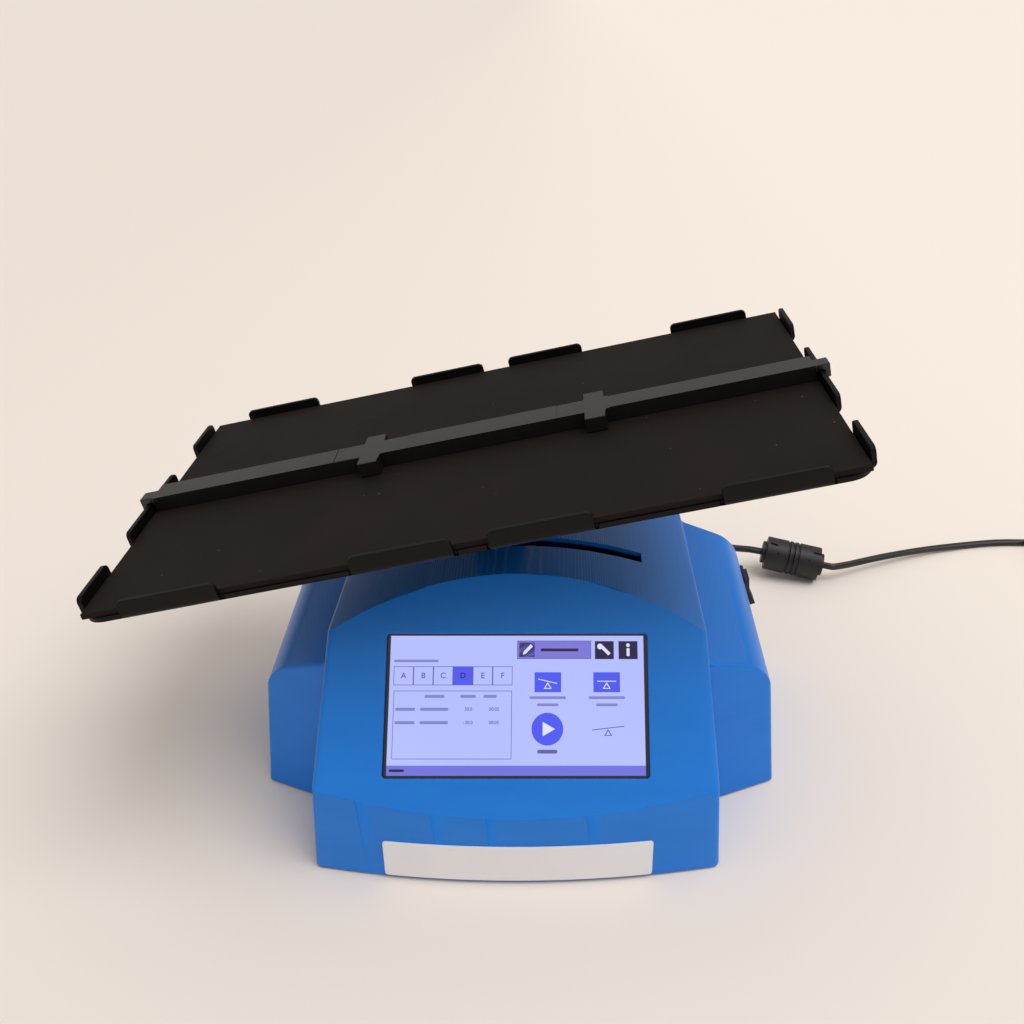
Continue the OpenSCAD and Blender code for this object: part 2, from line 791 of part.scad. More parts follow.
module on_mat() on_rocker() translate([0, divider_middle, mat_top + divider_rest]) children();

// A straight stretch of bar between two places along the tray.
module bar(from_x, to_x, width = divider_width)
    translate([from_x, -width / 2, 0]) cube([to_x - from_x, width, divider_height]);

// The tongue's socket, cut into a bar's end that faces along the given side.
module tongue_at(x, side, slack = 0)
    translate([x + (side > 0 ? 0 : -tongue.x) - slack, -tongue.y / 2 - slack, (divider_height - tongue.z) / 2 - slack])
        cube([tongue.x + 2 * slack, tongue.y + 2 * slack, tongue.z + 2 * slack]);

// A cross: a block that stops the plates, with an arm and a tongue to each side.
module cross(middle, left_arm, right_arm) {
    bar(middle - left_arm, middle + right_arm);
    translate([middle - block_width / 2, -block_reach, 0]) cube([block_width, 2 * block_reach, divider_height]);
    tongue_at(middle - left_arm, -1);
    tongue_at(middle + right_arm, 1);
}

left_seams = [left_block - arm_reach, left_block + arm_reach];
right_seams = [right_block - arm_reach, right_block + short_reach];

// The hook at a bar's outer end, over the side tab and down its outer face.
module end_hook(x, side) {
    sheet = side > 0 ? right_end : left_end;
    outer = sheet + side * (tab_reach + fit_gap + hook_gauge);
    over_tab = tray_lift + tab_height - mat_top;
    translate([min(x, outer), hook_shift - hook_width / 2, over_tab])
        cube([abs(outer - x), hook_width, divider_height - over_tab]);
    translate([min(outer, outer - side * hook_gauge), hook_shift - hook_width / 2, hook_low])
        cube([hook_gauge, hook_width, divider_height - hook_low]);
}

module divider_left_bar()
    color([0.2, 0.19, 0.18]) on_mat() difference() {
        union() {
            bar(left_end + 2, left_seams[0]);
            end_hook(left_end + 3, -1);
        }
        tongue_at(left_seams[0], -1, 0.1);
    }

module divider_left_cross()
    color([0.22, 0.21, 0.2]) on_mat() cross(left_block, arm_reach, arm_reach);

module divider_middle_bar()
    color([0.2, 0.19, 0.18]) on_mat() difference() {
        bar(left_seams[1], right_seams[0]);
        tongue_at(left_seams[1], 1, 0.1);
        tongue_at(right_seams[0], -1, 0.1);
    }

module divider_right_cross()
    color([0.22, 0.21, 0.2]) on_mat() cross(right_block, arm_reach, short_reach);

module divider_right_bar()
    color([0.2, 0.19, 0.18]) on_mat() difference() {
        union() {
            bar(right_seams[1], right_end - 2, right_bar_width);
            end_hook(right_end - 3, 1);
        }
        tongue_at(right_seams[1], 1, 0.1);
    }

// ---------- power ----------

switch_middle = [68, 81];   // Y and Z of the switch on the outer wall
switch_cut = [18, 26];
switch_bezel = [21, 29, 2];
paddle_lean = 10;       // the lower half of the paddle stands out

// Places the child on the right wing's outer wall: X along +Y, Y up the wall, Z outward.
module on_outer_wall() {
    lean = wing_outer[1];
    translate([wing_width / 2 - switch_middle[1] * tan(lean), switch_middle[0], switch_middle[1]])
        rotate([0, -lean, 0]) rotate([90, 0, 90]) children();
}

module switch_opening()
    on_outer_wall() translate([0, 0, -wall - 1]) cube_centred([switch_cut.x, switch_cut.y, 20]);

module switch_body()
    color([0.1, 0.1, 0.1]) on_outer_wall() difference() {
        union() {
            rounded_plate(switch_bezel, 2);
            translate([0, 0, -20]) cube_centred([switch_cut.x - 0.2, switch_cut.y - 0.2, 20.1]);
            for (side = [-8, 0, 8]) translate([-2.5, side - 0.4, -28]) cube([5, 0.8, 9]);
        }
        translate([0, 0, -8]) cube_centred([14.6, 24.8, 20]);
        translate([0, 0, -1.2]) rotate([0, 90, 0]) translate([0, 0, -8.5]) cylinder(d = 3.1, h = 17, $fn = 32);
    }

// The rocker paddle: a shallow V with the lower half standing out.
module switch_rocker()
    color([0.12, 0.12, 0.12]) on_outer_wall() translate([0, 0, -1.2]) {
        rotate([90, 0, 90]) translate([0, 0, -7]) linear_extrude(14) rotate(-paddle_lean)
            polygon([[-11.6, 0], [-11.2, 7.6], [0, 5.6], [11.2, 7.6], [11.6, 0], [5, -4.5], [-5, -4.5]]);
        rotate([0, 90, 0]) translate([0, 0, -8.4]) cylinder(d = 3, h = 16.8, $fn = 32);
    }

rear_y = rear_wall[2].y - jack.y * tan(rear_wall[1]);

module power_jack()
    color([0.1, 0.1, 0.1]) translate([jack.x, rear_y, jack.y]) rotate([-90, 0, 0]) difference() {
        union() {
            translate([0, 0, -12]) cylinder(d = 11.8, h = 12);
            translate([0, 0, 0.6]) cylinder(d = 15, h = 1.4);
            translate([0, 0, -6.6]) cylinder(d = 15, h = 2.4, $fn = 6);
            cylinder(d = 11.8, h = 1);
        }
        translate([0, 0, -9]) cylinder(d = 5.6, h = 14, $fn = 48);
    }

module power_plug()
    color([0.08, 0.08, 0.08]) translate([jack.x, rear_y + 2, jack.y]) rotate([-90, 0, 0]) {
        translate([0, 0, -9]) cylinder(d = 5.5, h = 9.1, $fn = 48);
        cylinder(d = 10.5, h = 14, $fn = 48);
        translate([0, 0, 14]) cylinder(d1 = 9.5, d2 = 6.4, h = lead_route[0].y - rear_y - 16, $fn = 48);
    }

// ---------- cord ----------

function catmull(a, b, c, d, t) =
    0.5 * ((2 * b) + (c - a) * t + (2 * a - 5 * b + 4 * c - d) * t ^ 2
        + (3 * b - a - 3 * c + d) * t ^ 3);

// Points along a smooth line through the route, with this many steps a stretch.
function along(route, steps) = [for (i = [0:len(route) - 2]) for (k = [0:steps - 1])
    catmull(route[max(i - 1, 0)], route[i], route[i + 1], route[min(i + 2, len(route) - 1)], k / steps),
    route[len(route) - 1]];

// One ring of the tube, square to the line, with its flat side directions kept level.
function ring(line, i, radius, sides) =
    let (way = unit(line[min(i + 1, len(line) - 1)] - line[max(i - 1, 0)]),
        level = unit(cross(way, [0, 0, 1])),
        upright = cross(level, way))
    [for (k = [0:sides - 1]) line[i] + radius * (cos(k * 360 / sides) * level
        + sin(k * 360 / sides) * upright)];

module tube(route, diameter, steps = 4, sides = 12) {
    line = along(route, steps);
    rings = len(line);
    polyhedron(
        points = [for (i = [0:rings - 1]) each ring(line, i, diameter / 2, sides)],
        faces = concat(
            [[for (k = [0:sides - 1]) k]],
            [for (i = [0:rings - 2], k = [0:sides - 1])
                [i * sides + k, (i + 1) * sides + k, (i + 1) * sides + (k + 1) % sides,
                    i * sides + (k + 1) % sides]],
            [[for (k = [sides - 1:-1:0]) (rings - 1) * sides + k]]));
}

module cord_lead() color([0.08, 0.08, 0.08]) tube(lead_route, cord_diameter);
module cord_tail() color([0.08, 0.08, 0.08]) tube(tail_route, cord_diameter);

module ferrite_core() {
    way = ferrite_ends[1] - ferrite_ends[0];
    length = norm(way);
    half = ferrite_diameter / 2;
    color([0.1, 0.1, 0.1]) translate(ferrite_ends[0]) aim(way) difference() {
        union() {
            cylinder(r = half - 5, h = length);
            translate([0, 0, 3.5]) cylinder(r = half, h = length - 7);
        }
        for (step = [-1:1]) translate([0, 0, length / 2 + step * 4.5]) difference() {
            cylinder(r = half + 1, h = 1.6, center = true);
            cylinder(r = half - 1, h = 3, center = true);
        }
        translate([0, 0, -1]) cylinder(d = cord_diameter + 0.1, h = length + 2);
        rotate(latch_turn) {
            translate([half - latch_depth, -1.3, 5.5]) cube([3, 2.6, 7]);
            translate([half - latch_depth, -1.3, length - 11]) cube([3, 2.6, 8.5]);
            for (turn = [-30, 30], place = [13.5, length - 13.5]) rotate(turn)
                translate([half - latch_depth, 0, place]) rotate([0, 90, 0]) cylinder(d = 1.8, h = 3, $fn = 24);
        }
    }
}

module cord_coil()
    color([0.08, 0.08, 0.08]) translate([coil_middle.x, coil_middle.y, coil_height / 2])
        rotate_extrude() translate([coil_radius, 0]) rounded_outline([coil_height, coil_height], 3);

module power_adapter()
    color([0.1, 0.1, 0.1]) translate([adapter_front.x, adapter_front.y, 0]) {
        translate([0, -adapter_size.y / 2 - 12, 0]) rounded_plate(adapter_size, 4);
        translate([0, 0, adapter_front.z]) rotate([90, 0, 0]) cylinder(d1 = 7, d2 = 11, h = 12.1, $fn = 48);
    }

module adapter_blades()
    color("silver") translate([adapter_front.x, adapter_front.y - adapter_size.y - 12, adapter_front.z])
        for (side = [-1, 1]) translate([side * 6.35 - 0.75, -17, -3.2]) cube([1.5, 17, 6.4]);

housing_shell();
base_plate();
rubber_feet();
base_screws();
label_plate();
display_glass();
display_panel();
display_screws();
controller_board();
board_standoffs();
board_screws();
bearing_stand_front();
bearing_stand_rear();
bearing_front();
bearing_rear();
stand_screws();
bracket_screws();
stepper_motor();
motor_bracket();
motor_screws();
drive_belt();
motor_pulley();
rocker_shaft();
driven_pulley();
rocker_arm();
arm_clamp_screws();
sensor_magnet();
position_sensor();
sensor_bracket();
mount_plate();
mount_screws();
tray();
tray_screws();
tray_mat();
divider_left_bar();
divider_left_cross();
divider_middle_bar();
divider_right_cross();
divider_right_bar();
switch_body();
switch_rocker();
power_jack();
power_plug();
cord_lead();
ferrite_core();
cord_coil();
cord_tail();
power_adapter();
adapter_blades();
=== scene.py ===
"""Finishes, lit display, cord and studio for a rocking platform shaker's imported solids."""

from __future__ import annotations

import json
import logging
import math
from dataclasses import dataclass
from enum import Enum
from typing import Any, Iterable, Sequence

import bmesh
import bpy
from bmesh.types import BMEdge, BMesh, BMFace, BMVert
from bpy.types import Material, Mesh, Node, NodeSocket, NodeTree, Object
from mathutils import Matrix, Vector
from mathutils.bvhtree import BVHTree
from mathutils.interpolate import poly_3d_calc

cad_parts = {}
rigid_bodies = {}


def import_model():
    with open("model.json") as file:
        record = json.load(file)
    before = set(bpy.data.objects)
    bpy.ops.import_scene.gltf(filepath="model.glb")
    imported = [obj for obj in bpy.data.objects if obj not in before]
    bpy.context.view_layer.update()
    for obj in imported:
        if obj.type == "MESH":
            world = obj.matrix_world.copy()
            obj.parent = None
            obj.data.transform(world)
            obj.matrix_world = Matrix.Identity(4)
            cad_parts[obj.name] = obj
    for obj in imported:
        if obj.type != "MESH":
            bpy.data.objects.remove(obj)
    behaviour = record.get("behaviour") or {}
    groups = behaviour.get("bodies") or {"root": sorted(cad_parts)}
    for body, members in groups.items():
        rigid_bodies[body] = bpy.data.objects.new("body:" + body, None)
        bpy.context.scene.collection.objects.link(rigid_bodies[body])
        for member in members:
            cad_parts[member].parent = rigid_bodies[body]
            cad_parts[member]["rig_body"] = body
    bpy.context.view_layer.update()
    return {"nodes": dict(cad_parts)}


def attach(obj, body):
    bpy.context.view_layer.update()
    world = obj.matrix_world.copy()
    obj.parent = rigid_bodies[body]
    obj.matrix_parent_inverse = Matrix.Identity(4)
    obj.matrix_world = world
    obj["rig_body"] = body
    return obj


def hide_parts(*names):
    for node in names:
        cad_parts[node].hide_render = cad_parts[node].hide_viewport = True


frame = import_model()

LOG = logging.getLogger("shaker")
MM = 0.001
Spot = tuple[float, float]
Place = tuple[float, float, float]
Rect = tuple[float, float, float, float]
Parts = tuple[tuple[str, "Finish", float], ...]


# ---------- colour and node helpers ----------


def linear(colour: str) -> tuple[float, float, float, float]:
    """Turns an sRGB hex colour into linear RGBA.

    Args:
        colour: The colour as "#rrggbb".

    Returns:
        Red, green, blue and an alpha of 1, in linear light.
    """
    parts = [int(colour[i : i + 2], 16) / 255 for i in (1, 3, 5)]
    red, green, blue = (p / 12.92 if p <= 0.04045 else ((p + 0.055) / 1.055) ** 2.4 for p in parts)
    return red, green, blue, 1.0


def add_node(tree: NodeTree, kind: str, inputs: dict[Any, Any] | None = None,
             **settings: Any) -> Node:
    """Adds a node with its settings, and links or sets its inputs.

    Args:
        tree: The node tree to add to.
        kind: Blender's name of the node type.
        inputs: Socket name or index to a value, or to the output socket that feeds it.
        settings: Attributes of the node.

    Returns:
        The new node.
    """
    node = tree.nodes.new(kind)
    for name, value in settings.items():
        setattr(node, name, value)
    for key, value in (inputs or {}).items():
        if isinstance(value, NodeSocket):
            tree.links.new(value, node.inputs[key])
        else:
            node.inputs[key].default_value = value
    return node


def coordinates(tree: NodeTree, kind: str = "Object") -> NodeSocket:
    """Returns the places, in metres, or the normals of what the tree shades."""
    return add_node(tree, "ShaderNodeTexCoord").outputs[kind]


def axis(tree: NodeTree, vector: NodeSocket, name: str) -> NodeSocket:
    """Returns a vector's part along X, Y or Z."""
    return add_node(tree, "ShaderNodeSeparateXYZ", {"Vector": vector}).outputs[name]


def stretch(tree: NodeTree, place: NodeSocket, scale: Place) -> NodeSocket:
    """Returns a place scaled along each axis."""
    return add_node(tree, "ShaderNodeMapping", {"Vector": place, "Scale": scale}).outputs["Vector"]


def calc(tree: NodeTree, operation: str, *values: Any) -> NodeSocket:
    """Returns the result of a sum on one or two values or sockets."""
    return add_node(tree, "ShaderNodeMath", dict(enumerate(values)), operation=operation).outputs[0]


def noise(tree: NodeTree, place: NodeSocket, scale: float, detail: float) -> NodeSocket:
    """Returns smooth noise, with a scale in bumps to the unit of place."""
    return add_node(tree, "ShaderNodeTexNoise",
                    {"Vector": place, "Scale": scale, "Detail": detail}).outputs["Fac"]


def remap(tree: NodeTree, value: NodeSocket, low: float, high: float, start: float = 0.0,
          end: float = 1.0, curve: str = "LINEAR") -> NodeSocket:
    """Carries a value from one range into another.

    Args:
        tree: The node tree to add to.
        value: The value to carry.
        low: The result at the first range's start.
        high: The result at the first range's end.
        start: The first range's start.
        end: The first range's end.
        curve: Blender's name of the way from low to high.

    Returns:
        The result.
    """
    return add_node(tree, "ShaderNodeMapRange",
                    {"Value": value, "From Min": start, "From Max": end, "To Min": low,
                     "To Max": high}, interpolation_type=curve).outputs["Result"]


def blend(tree: NodeTree, share: NodeSocket, first: Any, second: Any,
          **settings: Any) -> NodeSocket:
    """Returns a mix of two colours, by the share of the second."""
    return add_node(tree, "ShaderNodeMix", {"Factor": share, "A": first, "B": second},
                    data_type="RGBA", **settings).outputs["Result"]


def new_material(name: str) -> tuple[Material, NodeTree]:
    """Starts a material.

    Args:
        name: The material's name.

    Returns:
        The material and its node tree, which is empty.
    """
    material = bpy.data.materials.new(name)
    material.use_nodes = True
    material.node_tree.nodes.clear()
    return material, material.node_tree


def cover(tree: NodeTree, inputs: dict[str, Any]) -> None:
    """Ends a material's tree in a Principled shader with these inputs."""
    shader = add_node(tree, "ShaderNodeBsdfPrincipled", inputs)
    add_node(tree, "ShaderNodeOutputMaterial", {"Surface": shader.outputs["BSDF"]})


# ---------- finishes ----------


@dataclass(frozen=True)
class Finish:
    """A finish with one base colour, faint mottling and a fine grain in the surface."""

    name: str
    colour: str
    shade: str
    roughness: float
    roughness_spread: float = 0.05
    grain_mm: float = 0.6
    grain_along: Place = (1.0, 1.0, 1.0)
    grain_detail: float = 2.0
    grain_depth_mm: float = 0.02
    grain_strength: float = 1.0
    mottle_mm: float = 30.0
    metallic: float = 0.0
    coat: float = 0.0
    specular: float = 0.5

    def grain(self, tree: NodeTree, place: NodeSocket) -> NodeSocket:
        """Returns the height pattern of the grain, drawn out along an axis with a small share."""
        place = stretch(tree, place, self.grain_along)
        return noise(tree, place, 1 / (self.grain_mm * MM), self.grain_detail)

    def mottle(self, tree: NodeTree, place: NodeSocket) -> NodeSocket:
        """Returns the slow pattern that shifts the colour and the sheen."""
        return noise(tree, place, 1 / (self.mottle_mm * MM), 3.0)

    def tint(self, tree: NodeTree, place: NodeSocket, mottle: NodeSocket) -> NodeSocket:
        """Returns the colour, which wanders between two near shades."""
        return blend(tree, mottle, linear(self.colour), linear(self.shade))

    def build(self) -> Material:
        """Builds the material.

        Returns:
            The material, which reads Object coordinates in metres.
        """
        material, tree = new_material(self.name)
        place = coordinates(tree)
        mottle = self.mottle(tree, place)
        bump = add_node(tree, "ShaderNodeBump",
                        {"Height": self.grain(tree, place), "Strength": self.grain_strength,
                         "Distance": self.grain_depth_mm * MM})
        sheen = remap(tree, mottle, self.roughness - self.roughness_spread,
                      self.roughness + self.roughness_spread)
        cover(tree, {"Base Color": self.tint(tree, place, mottle), "Roughness": sheen,
                     "Normal": bump.outputs["Normal"], "Metallic": self.metallic,
                     "Coat Weight": self.coat, "Specular IOR Level": self.specular})
        return material


@dataclass(frozen=True)
class ContourPrint(Finish):
    """Plastic printed in level layers, whose steps show as pale lines where it is shallow; the
    steps are real, and their paler colour is a painted highlight.

    The lines start where the normal's Z is lines_from_up and are full at lines_full_up.
    """

    grain_strength: float = 0.6
    layer_mm: float = 0.3
    wobble_mm: float = 0.22
    wobble_size_mm: float = 26.0
    mottle_squeeze: float = 4.0
    step_highlight_colour: str = "#7ea4d8"
    line_share: float = 0.4
    step_highlight_strength: float = 0.75
    faintest_line: float = 0.25
    lines_from_up: float = 0.86
    lines_full_up: float = 0.985

    def layer(self, tree: NodeTree, place: NodeSocket) -> NodeSocket:
        """Counts the printed layers.

        Args:
            tree: The material's tree.
            place: Where to count them.

        Returns:
            How many layers lie below the place, with a slight wobble.
        """
        wobble = noise(tree, place, 1 / (self.wobble_size_mm * MM), 1.0)
        shift = calc(tree, "MULTIPLY", wobble, self.wobble_mm * MM)
        height = calc(tree, "ADD", axis(tree, place, "Z"), shift)
        return calc(tree, "DIVIDE", height, self.layer_mm * MM)

    def grain(self, tree: NodeTree, place: NodeSocket) -> NodeSocket:
        """Returns the rise within each layer."""
        return calc(tree, "FRACT", self.layer(tree, place))

    def mottle(self, tree: NodeTree, place: NodeSocket) -> NodeSocket:
        """Returns a slow pattern that lies level, as the layers do."""
        side = 1 / (self.mottle_mm * MM)
        return noise(tree, stretch(tree, place, (side, side, self.mottle_squeeze * side)), 1.0, 4.0)

    def tint(self, tree: NodeTree, place: NodeSocket, mottle: NodeSocket) -> NodeSocket:
        """Draws the contour lines over the plain colour, in a paler colour that paints the
        highlight on each step.

        Args:
            tree: The material's tree.
            place: The places in metres.
            mottle: The slow pattern.

        Returns:
            The colour, with a line at each layer's edge, some fainter than others.
        """
        layer = self.layer(tree, place)
        edge = remap(tree, calc(tree, "FRACT", layer), 0.0, 1.0, start=1 - self.line_share,
                     curve="SMOOTHSTEP")
        shallow = remap(tree, axis(tree, coordinates(tree, "Normal"), "Z"), 0.0,
                        self.step_highlight_strength, self.lines_from_up, self.lines_full_up)
        chance = add_node(tree, "ShaderNodeTexWhiteNoise", {"W": calc(tree, "FLOOR", layer)},
                          noise_dimensions="1D")
        seen = remap(tree, chance.outputs["Value"], self.faintest_line, 1.0)
        # The pale line colour is a painted highlight: the light that the layers' steps catch.
        line = calc(tree, "MULTIPLY", calc(tree, "MULTIPLY", edge, shallow), seen)
        return blend(tree, line, super().tint(tree, place, mottle), linear(self.step_highlight_colour))


@dataclass(frozen=True)
class DustyRubber(Finish):
    """Matt rubber with a few pale specks of dust."""

    speck_mm: float = 0.5
    speck_pitch_mm: float = 9.0
    bare_share: float = 0.72
    dust: str = "#8d847a"

    def tint(self, tree: NodeTree, place: NodeSocket, mottle: NodeSocket) -> NodeSocket:
        """Lays the specks over the plain colour.

        Args:
            tree: The material's tree.
            place: The places in metres.
            mottle: The slow pattern.

        Returns:
            The colour, with a speck in each cell but for the bare share.
        """
        cells = add_node(tree, "ShaderNodeTexVoronoi",
                         {"Vector": place, "Scale": 1 / (self.speck_pitch_mm * MM)})
        dot = remap(tree, cells.outputs["Distance"], 1.0, 0.0,
                    end=self.speck_mm / self.speck_pitch_mm)
        chance = add_node(tree, "ShaderNodeSeparateColor", {"Color": cells.outputs["Color"]})
        chosen = calc(tree, "GREATER_THAN", chance.outputs["Red"], self.bare_share)
        return blend(tree, calc(tree, "MULTIPLY", dot, chosen),
                     super().tint(tree, place, mottle), linear(self.dust))


@dataclass(frozen=True)
class LitInk:
    """A colour on the lit screen, behind smooth glass."""

    name: str
    colour: str
    glass: str = "#050507"
    glass_roughness: float = 0.22
    patches_per_m: float = 12.0
    backlight: Spot = (0.94, 1.04)

    def build(self) -> Material:
        """Builds the material.

        Returns:
            Glossy black that glows with the ink's colour, a little unevenly.
        """
        material, tree = new_material(self.name)
        patches = noise(tree, coordinates(tree), self.patches_per_m, 0.0)
        level = remap(tree, patches, *self.backlight)
        glow = blend(tree, level, (0, 0, 0, 1), linear(self.colour), clamp_factor=False)
        cover(tree, {"Base Color": linear(self.glass), "Roughness": self.glass_roughness,
                     "Emission Color": glow, "Emission Strength": 1.0})
        return material


class Metal(Enum):
    """The plain metals inside the housing: two near colours and a roughness."""

    ALUMINIUM = ("#c4c6c8", "#b2b4b6", 0.38)
    STEEL = ("#bdbec0", "#a3a4a6", 0.32)
    BRASS = ("#c9a860", "#b8954c", 0.3)
    NICKEL = ("#cfccc4", "#bdb9b0", 0.2)

    def finish(self, name: str, grain_mm: float = 0.3) -> Finish:
        """Returns this metal's finish, with fine scratches along X."""
        return Finish(name, *self.value, grain_mm=grain_mm, grain_along=(0.02, 1.0, 1.0),
                      grain_detail=3.0, grain_depth_mm=0.006, metallic=1.0)


# Blue PLA, fused-filament printed: a satin sheen, with the layers' steps as pale lines on the arch;
# the steps are real, and their paleness is a painted highlight.
BLUE_PRINT = ContourPrint("blue_pla_printed", "#1280e2", "#0e74d6", 0.36, grain_depth_mm=0.012,
                          mottle_mm=60.0, specular=0.34)
# Black PLA, printed: near black with a satin top. Its 0.2 mm layers are too fine to show from a
# distance, so they are drawn coarser, as level ridges.
BLACK_PRINT = Finish("black_pla_printed", "#171311", "#110e0c", 0.3, grain_mm=0.6,
                     grain_along=(0.005, 0.005, 1.0), grain_depth_mm=0.008, mottle_mm=25.0)
# Black ABS sheet, folded hot: fine leathery grain and a low sheen.
TRAY_ABS = Finish("black_abs_folded", "#0a0706", "#070504", 0.46, grain_mm=0.7,
                  grain_depth_mm=0.01, specular=0.16)
# Nitrile rubber sheet, calendered: matt with a faint mottle and a little dust.
MAT_RUBBER = DustyRubber("nitrile_mat_calendered", "#1c1512", "#15100d", 0.7, grain_mm=0.8,
                         mottle_mm=45.0, specular=0.14)
# Rubber feet, moulded: dull.
FOOT_RUBBER = Finish("rubber_moulded", "#141414", "#0e0e0e", 0.8, grain_mm=0.5)
# Soft PVC sheath, extruded: smooth with a low sheen.
CORD_PVC = Finish("pvc_sheath_extruded", "#1a1715", "#131110", 0.42, grain_mm=0.9,
                  grain_depth_mm=0.008)
# Black nylon, moulded: a fine spark-eroded grain.
BLACK_NYLON = Finish("black_nylon_moulded", "#171514", "#100f0e", 0.46, grain_mm=0.4,
                     grain_depth_mm=0.01)
# Pale acrylic, cut from sheet: smooth under a light gloss.
LABEL_ACRYLIC = Finish("pale_acrylic_cut", "#efeff2", "#e8e8ec", 0.3, grain_mm=2.0,
                       grain_depth_mm=0.002, coat=0.3)
# Display glass, printed black on its rear: nearly flat and glossy.
BLACK_GLASS = Finish("black_glass_printed", "#0b0b12", "#08080e", 0.1, grain_mm=5.0,
                     grain_depth_mm=0.0005, coat=0.5)
# Steel with black enamel, sprayed: a slight orange peel.
PAINTED_STEEL = Finish("black_enamel_sprayed", "#202124", "#1a1b1e", 0.4, grain_mm=0.5)
# Circuit board under green solder mask.
SOLDER_MASK = Finish("green_solder_mask", "#0c4a2a", "#093d22", 0.35, grain_mm=0.3)
# Neoprene belt, moulded: matt.
BELT_RUBBER = Finish("neoprene_belt_moulded", "#151515", "#101010", 0.7, grain_mm=0.4)

# The solids that the scene shows as they are, by finish.
PLAIN_NODES: dict[Finish, tuple[str, ...]] = {
    FOOT_RUBBER: ("rubber_feet",),
    BLACK_GLASS: ("display_glass",),
    PAINTED_STEEL: ("display_panel", "stepper_motor"),
    SOLDER_MASK: ("controller_board", "position_sensor"),
    BELT_RUBBER: ("drive_belt",),
    Metal.ALUMINIUM.finish("aluminium_plate_brushed", 0.6): ("base_plate",),
    Metal.ALUMINIUM.finish("aluminium_machined"): (
        "bearing_stand_front", "bearing_stand_rear", "motor_pulley", "driven_pulley"),
    Metal.STEEL.finish("steel_ground", 0.2): ("bearing_front", "bearing_rear", "rocker_shaft"),
    Metal.STEEL.finish("zinc_steel_folded"): ("motor_bracket", "sensor_bracket"),
    Metal.STEEL.finish("zinc_screw_steel"): (
        "base_screws", "display_screws", "board_screws", "stand_screws", "bracket_screws",
        "motor_screws", "arm_clamp_screws", "mount_screws", "tray_screws"),
    Metal.BRASS.finish("brass_turned"): ("board_standoffs",),
    Metal.NICKEL.finish("nickel_plated"): ("sensor_magnet", "adapter_blades"),
}


# ---------- mesh helpers ----------


def link_mesh(name: str, bm: BMesh, materials: Sequence[Material],
              crease_deg: float = 30.0) -> Object:
    """Makes an object at the origin from a bmesh, smooth but for its creases.

    Args:
        name: The piece's name.
        bm: The geometry, which is freed.
        materials: The material slots, in order.
        crease_deg: Edges sharper than this stay sharp.

    Returns:
        The new object.
    """
    mesh = bpy.data.meshes.new(name)
    bm.to_mesh(mesh)
    bm.free()
    for material in materials:
        mesh.materials.append(material)
    mesh.shade_smooth()
    mesh.set_sharp_from_angle(angle=math.radians(crease_deg))
    piece = bpy.data.objects.new(name, mesh)
    bpy.context.scene.collection.objects.link(piece)
    return piece


def groups(faces: Iterable[BMFace], vert: BMVert, limit_deg: float) -> list[list[BMFace]]:
    """Sorts the faces at a corner into runs that turn gently from each to the next.

    Args:
        faces: The faces to sort.
        vert: The corner they share.
        limit_deg: The most that two neighbours in a run may turn.

    Returns:
        The runs.
    """
    left = set(faces)
    runs = []
    while left:
        run = [left.pop()]
        for face in run:
            for edge in face.edges:
                if vert not in edge.verts or len(edge.link_faces) != 2:
                    continue
                if edge.calc_face_angle(math.pi) < math.radians(limit_deg):
                    near = [other for other in edge.link_faces if other in left]
                    left.difference_update(near)
                    run.extend(near)
        runs.append(run)
    return runs


class TrueSurface:
    """The solid's own surface, which knows the exact normals of its curved faces."""

    def __init__(self, mesh: Mesh) -> None:
        """Keeps the faces and their corner normals.

        Args:
            mesh: The solid's mesh.
        """
        self.points = [v.co.copy() for v in mesh.vertices]
        self.corners = [[(mesh.loops[i].vertex_index, mesh.corner_normals[i].vector.copy())
                         for i in face.loop_indices] for face in mesh.polygons]
        self.tree = BVHTree.FromPolygons(self.points, [[v for v, _ in c] for c in self.corners])

    def normal(self, place: Vector, guess: Vector, reach_mm: float = 0.6,
               limit_deg: float = 9.0) -> Vector:
        """Finds the surface's normal beside a place.

        Args:
            place: The place, in metres.
            guess: About which way the normal points.
            reach_mm: How far off the surface may be.
            limit_deg: How far the normal may lean from the guess.

        Returns:
            The exact normal, or the guess where no face agrees with it.
        """
        best, least = guess, math.radians(limit_deg)
        for spot, _, index, _ in self.tree.find_nearest_range(place, reach_mm * MM):
            corners = self.corners[index]
            shares = poly_3d_calc([self.points[v] for v, _ in corners], spot)
            found = sum((normal * share for (_, normal), share in zip(corners, shares)), Vector())
            lean = found.angle(guess, math.pi)
            if lean < least:
                best, least = found.normalized(), lean
        return best


def soften(mesh: Mesh, surface: TrueSurface | None = None, crease_deg: float = 35.0,
           kin_deg: float = 14.0) -> None:
    """Gives a mesh normals that keep flat faces flat, curved ones smooth and small rounds soft.

    Args:
        mesh: The mesh, which is changed.
        surface: The solid's surface, where the mesh stands for a solid.
        crease_deg: Edges that turn more than this stay sharp.
        kin_deg: Faces that turn less than this belong to one curved surface.
    """
    bm = bmesh.new()
    bm.from_mesh(mesh)
    table = {}
    for vert in bm.verts:
        for fan in groups(vert.link_faces, vert, crease_deg):
            main = max(groups(fan, vert, kin_deg), key=lambda run: sum(f.calc_area() for f in run))
            normal = Vector()
            for face in main:
                corner = next(loop for loop in face.loops if loop.vert == vert)
                normal += face.normal * corner.calc_angle()
            normal.normalize()
            if surface:
                normal = surface.normal(vert.co, normal)
            for face in fan:
                table[face.index, vert.index] = normal
    bm.free()
    mesh.shade_smooth()
    mesh.normals_split_custom_set([table[face.index, mesh.loops[i].vertex_index]
                                   for face in mesh.polygons for i in face.loop_indices])


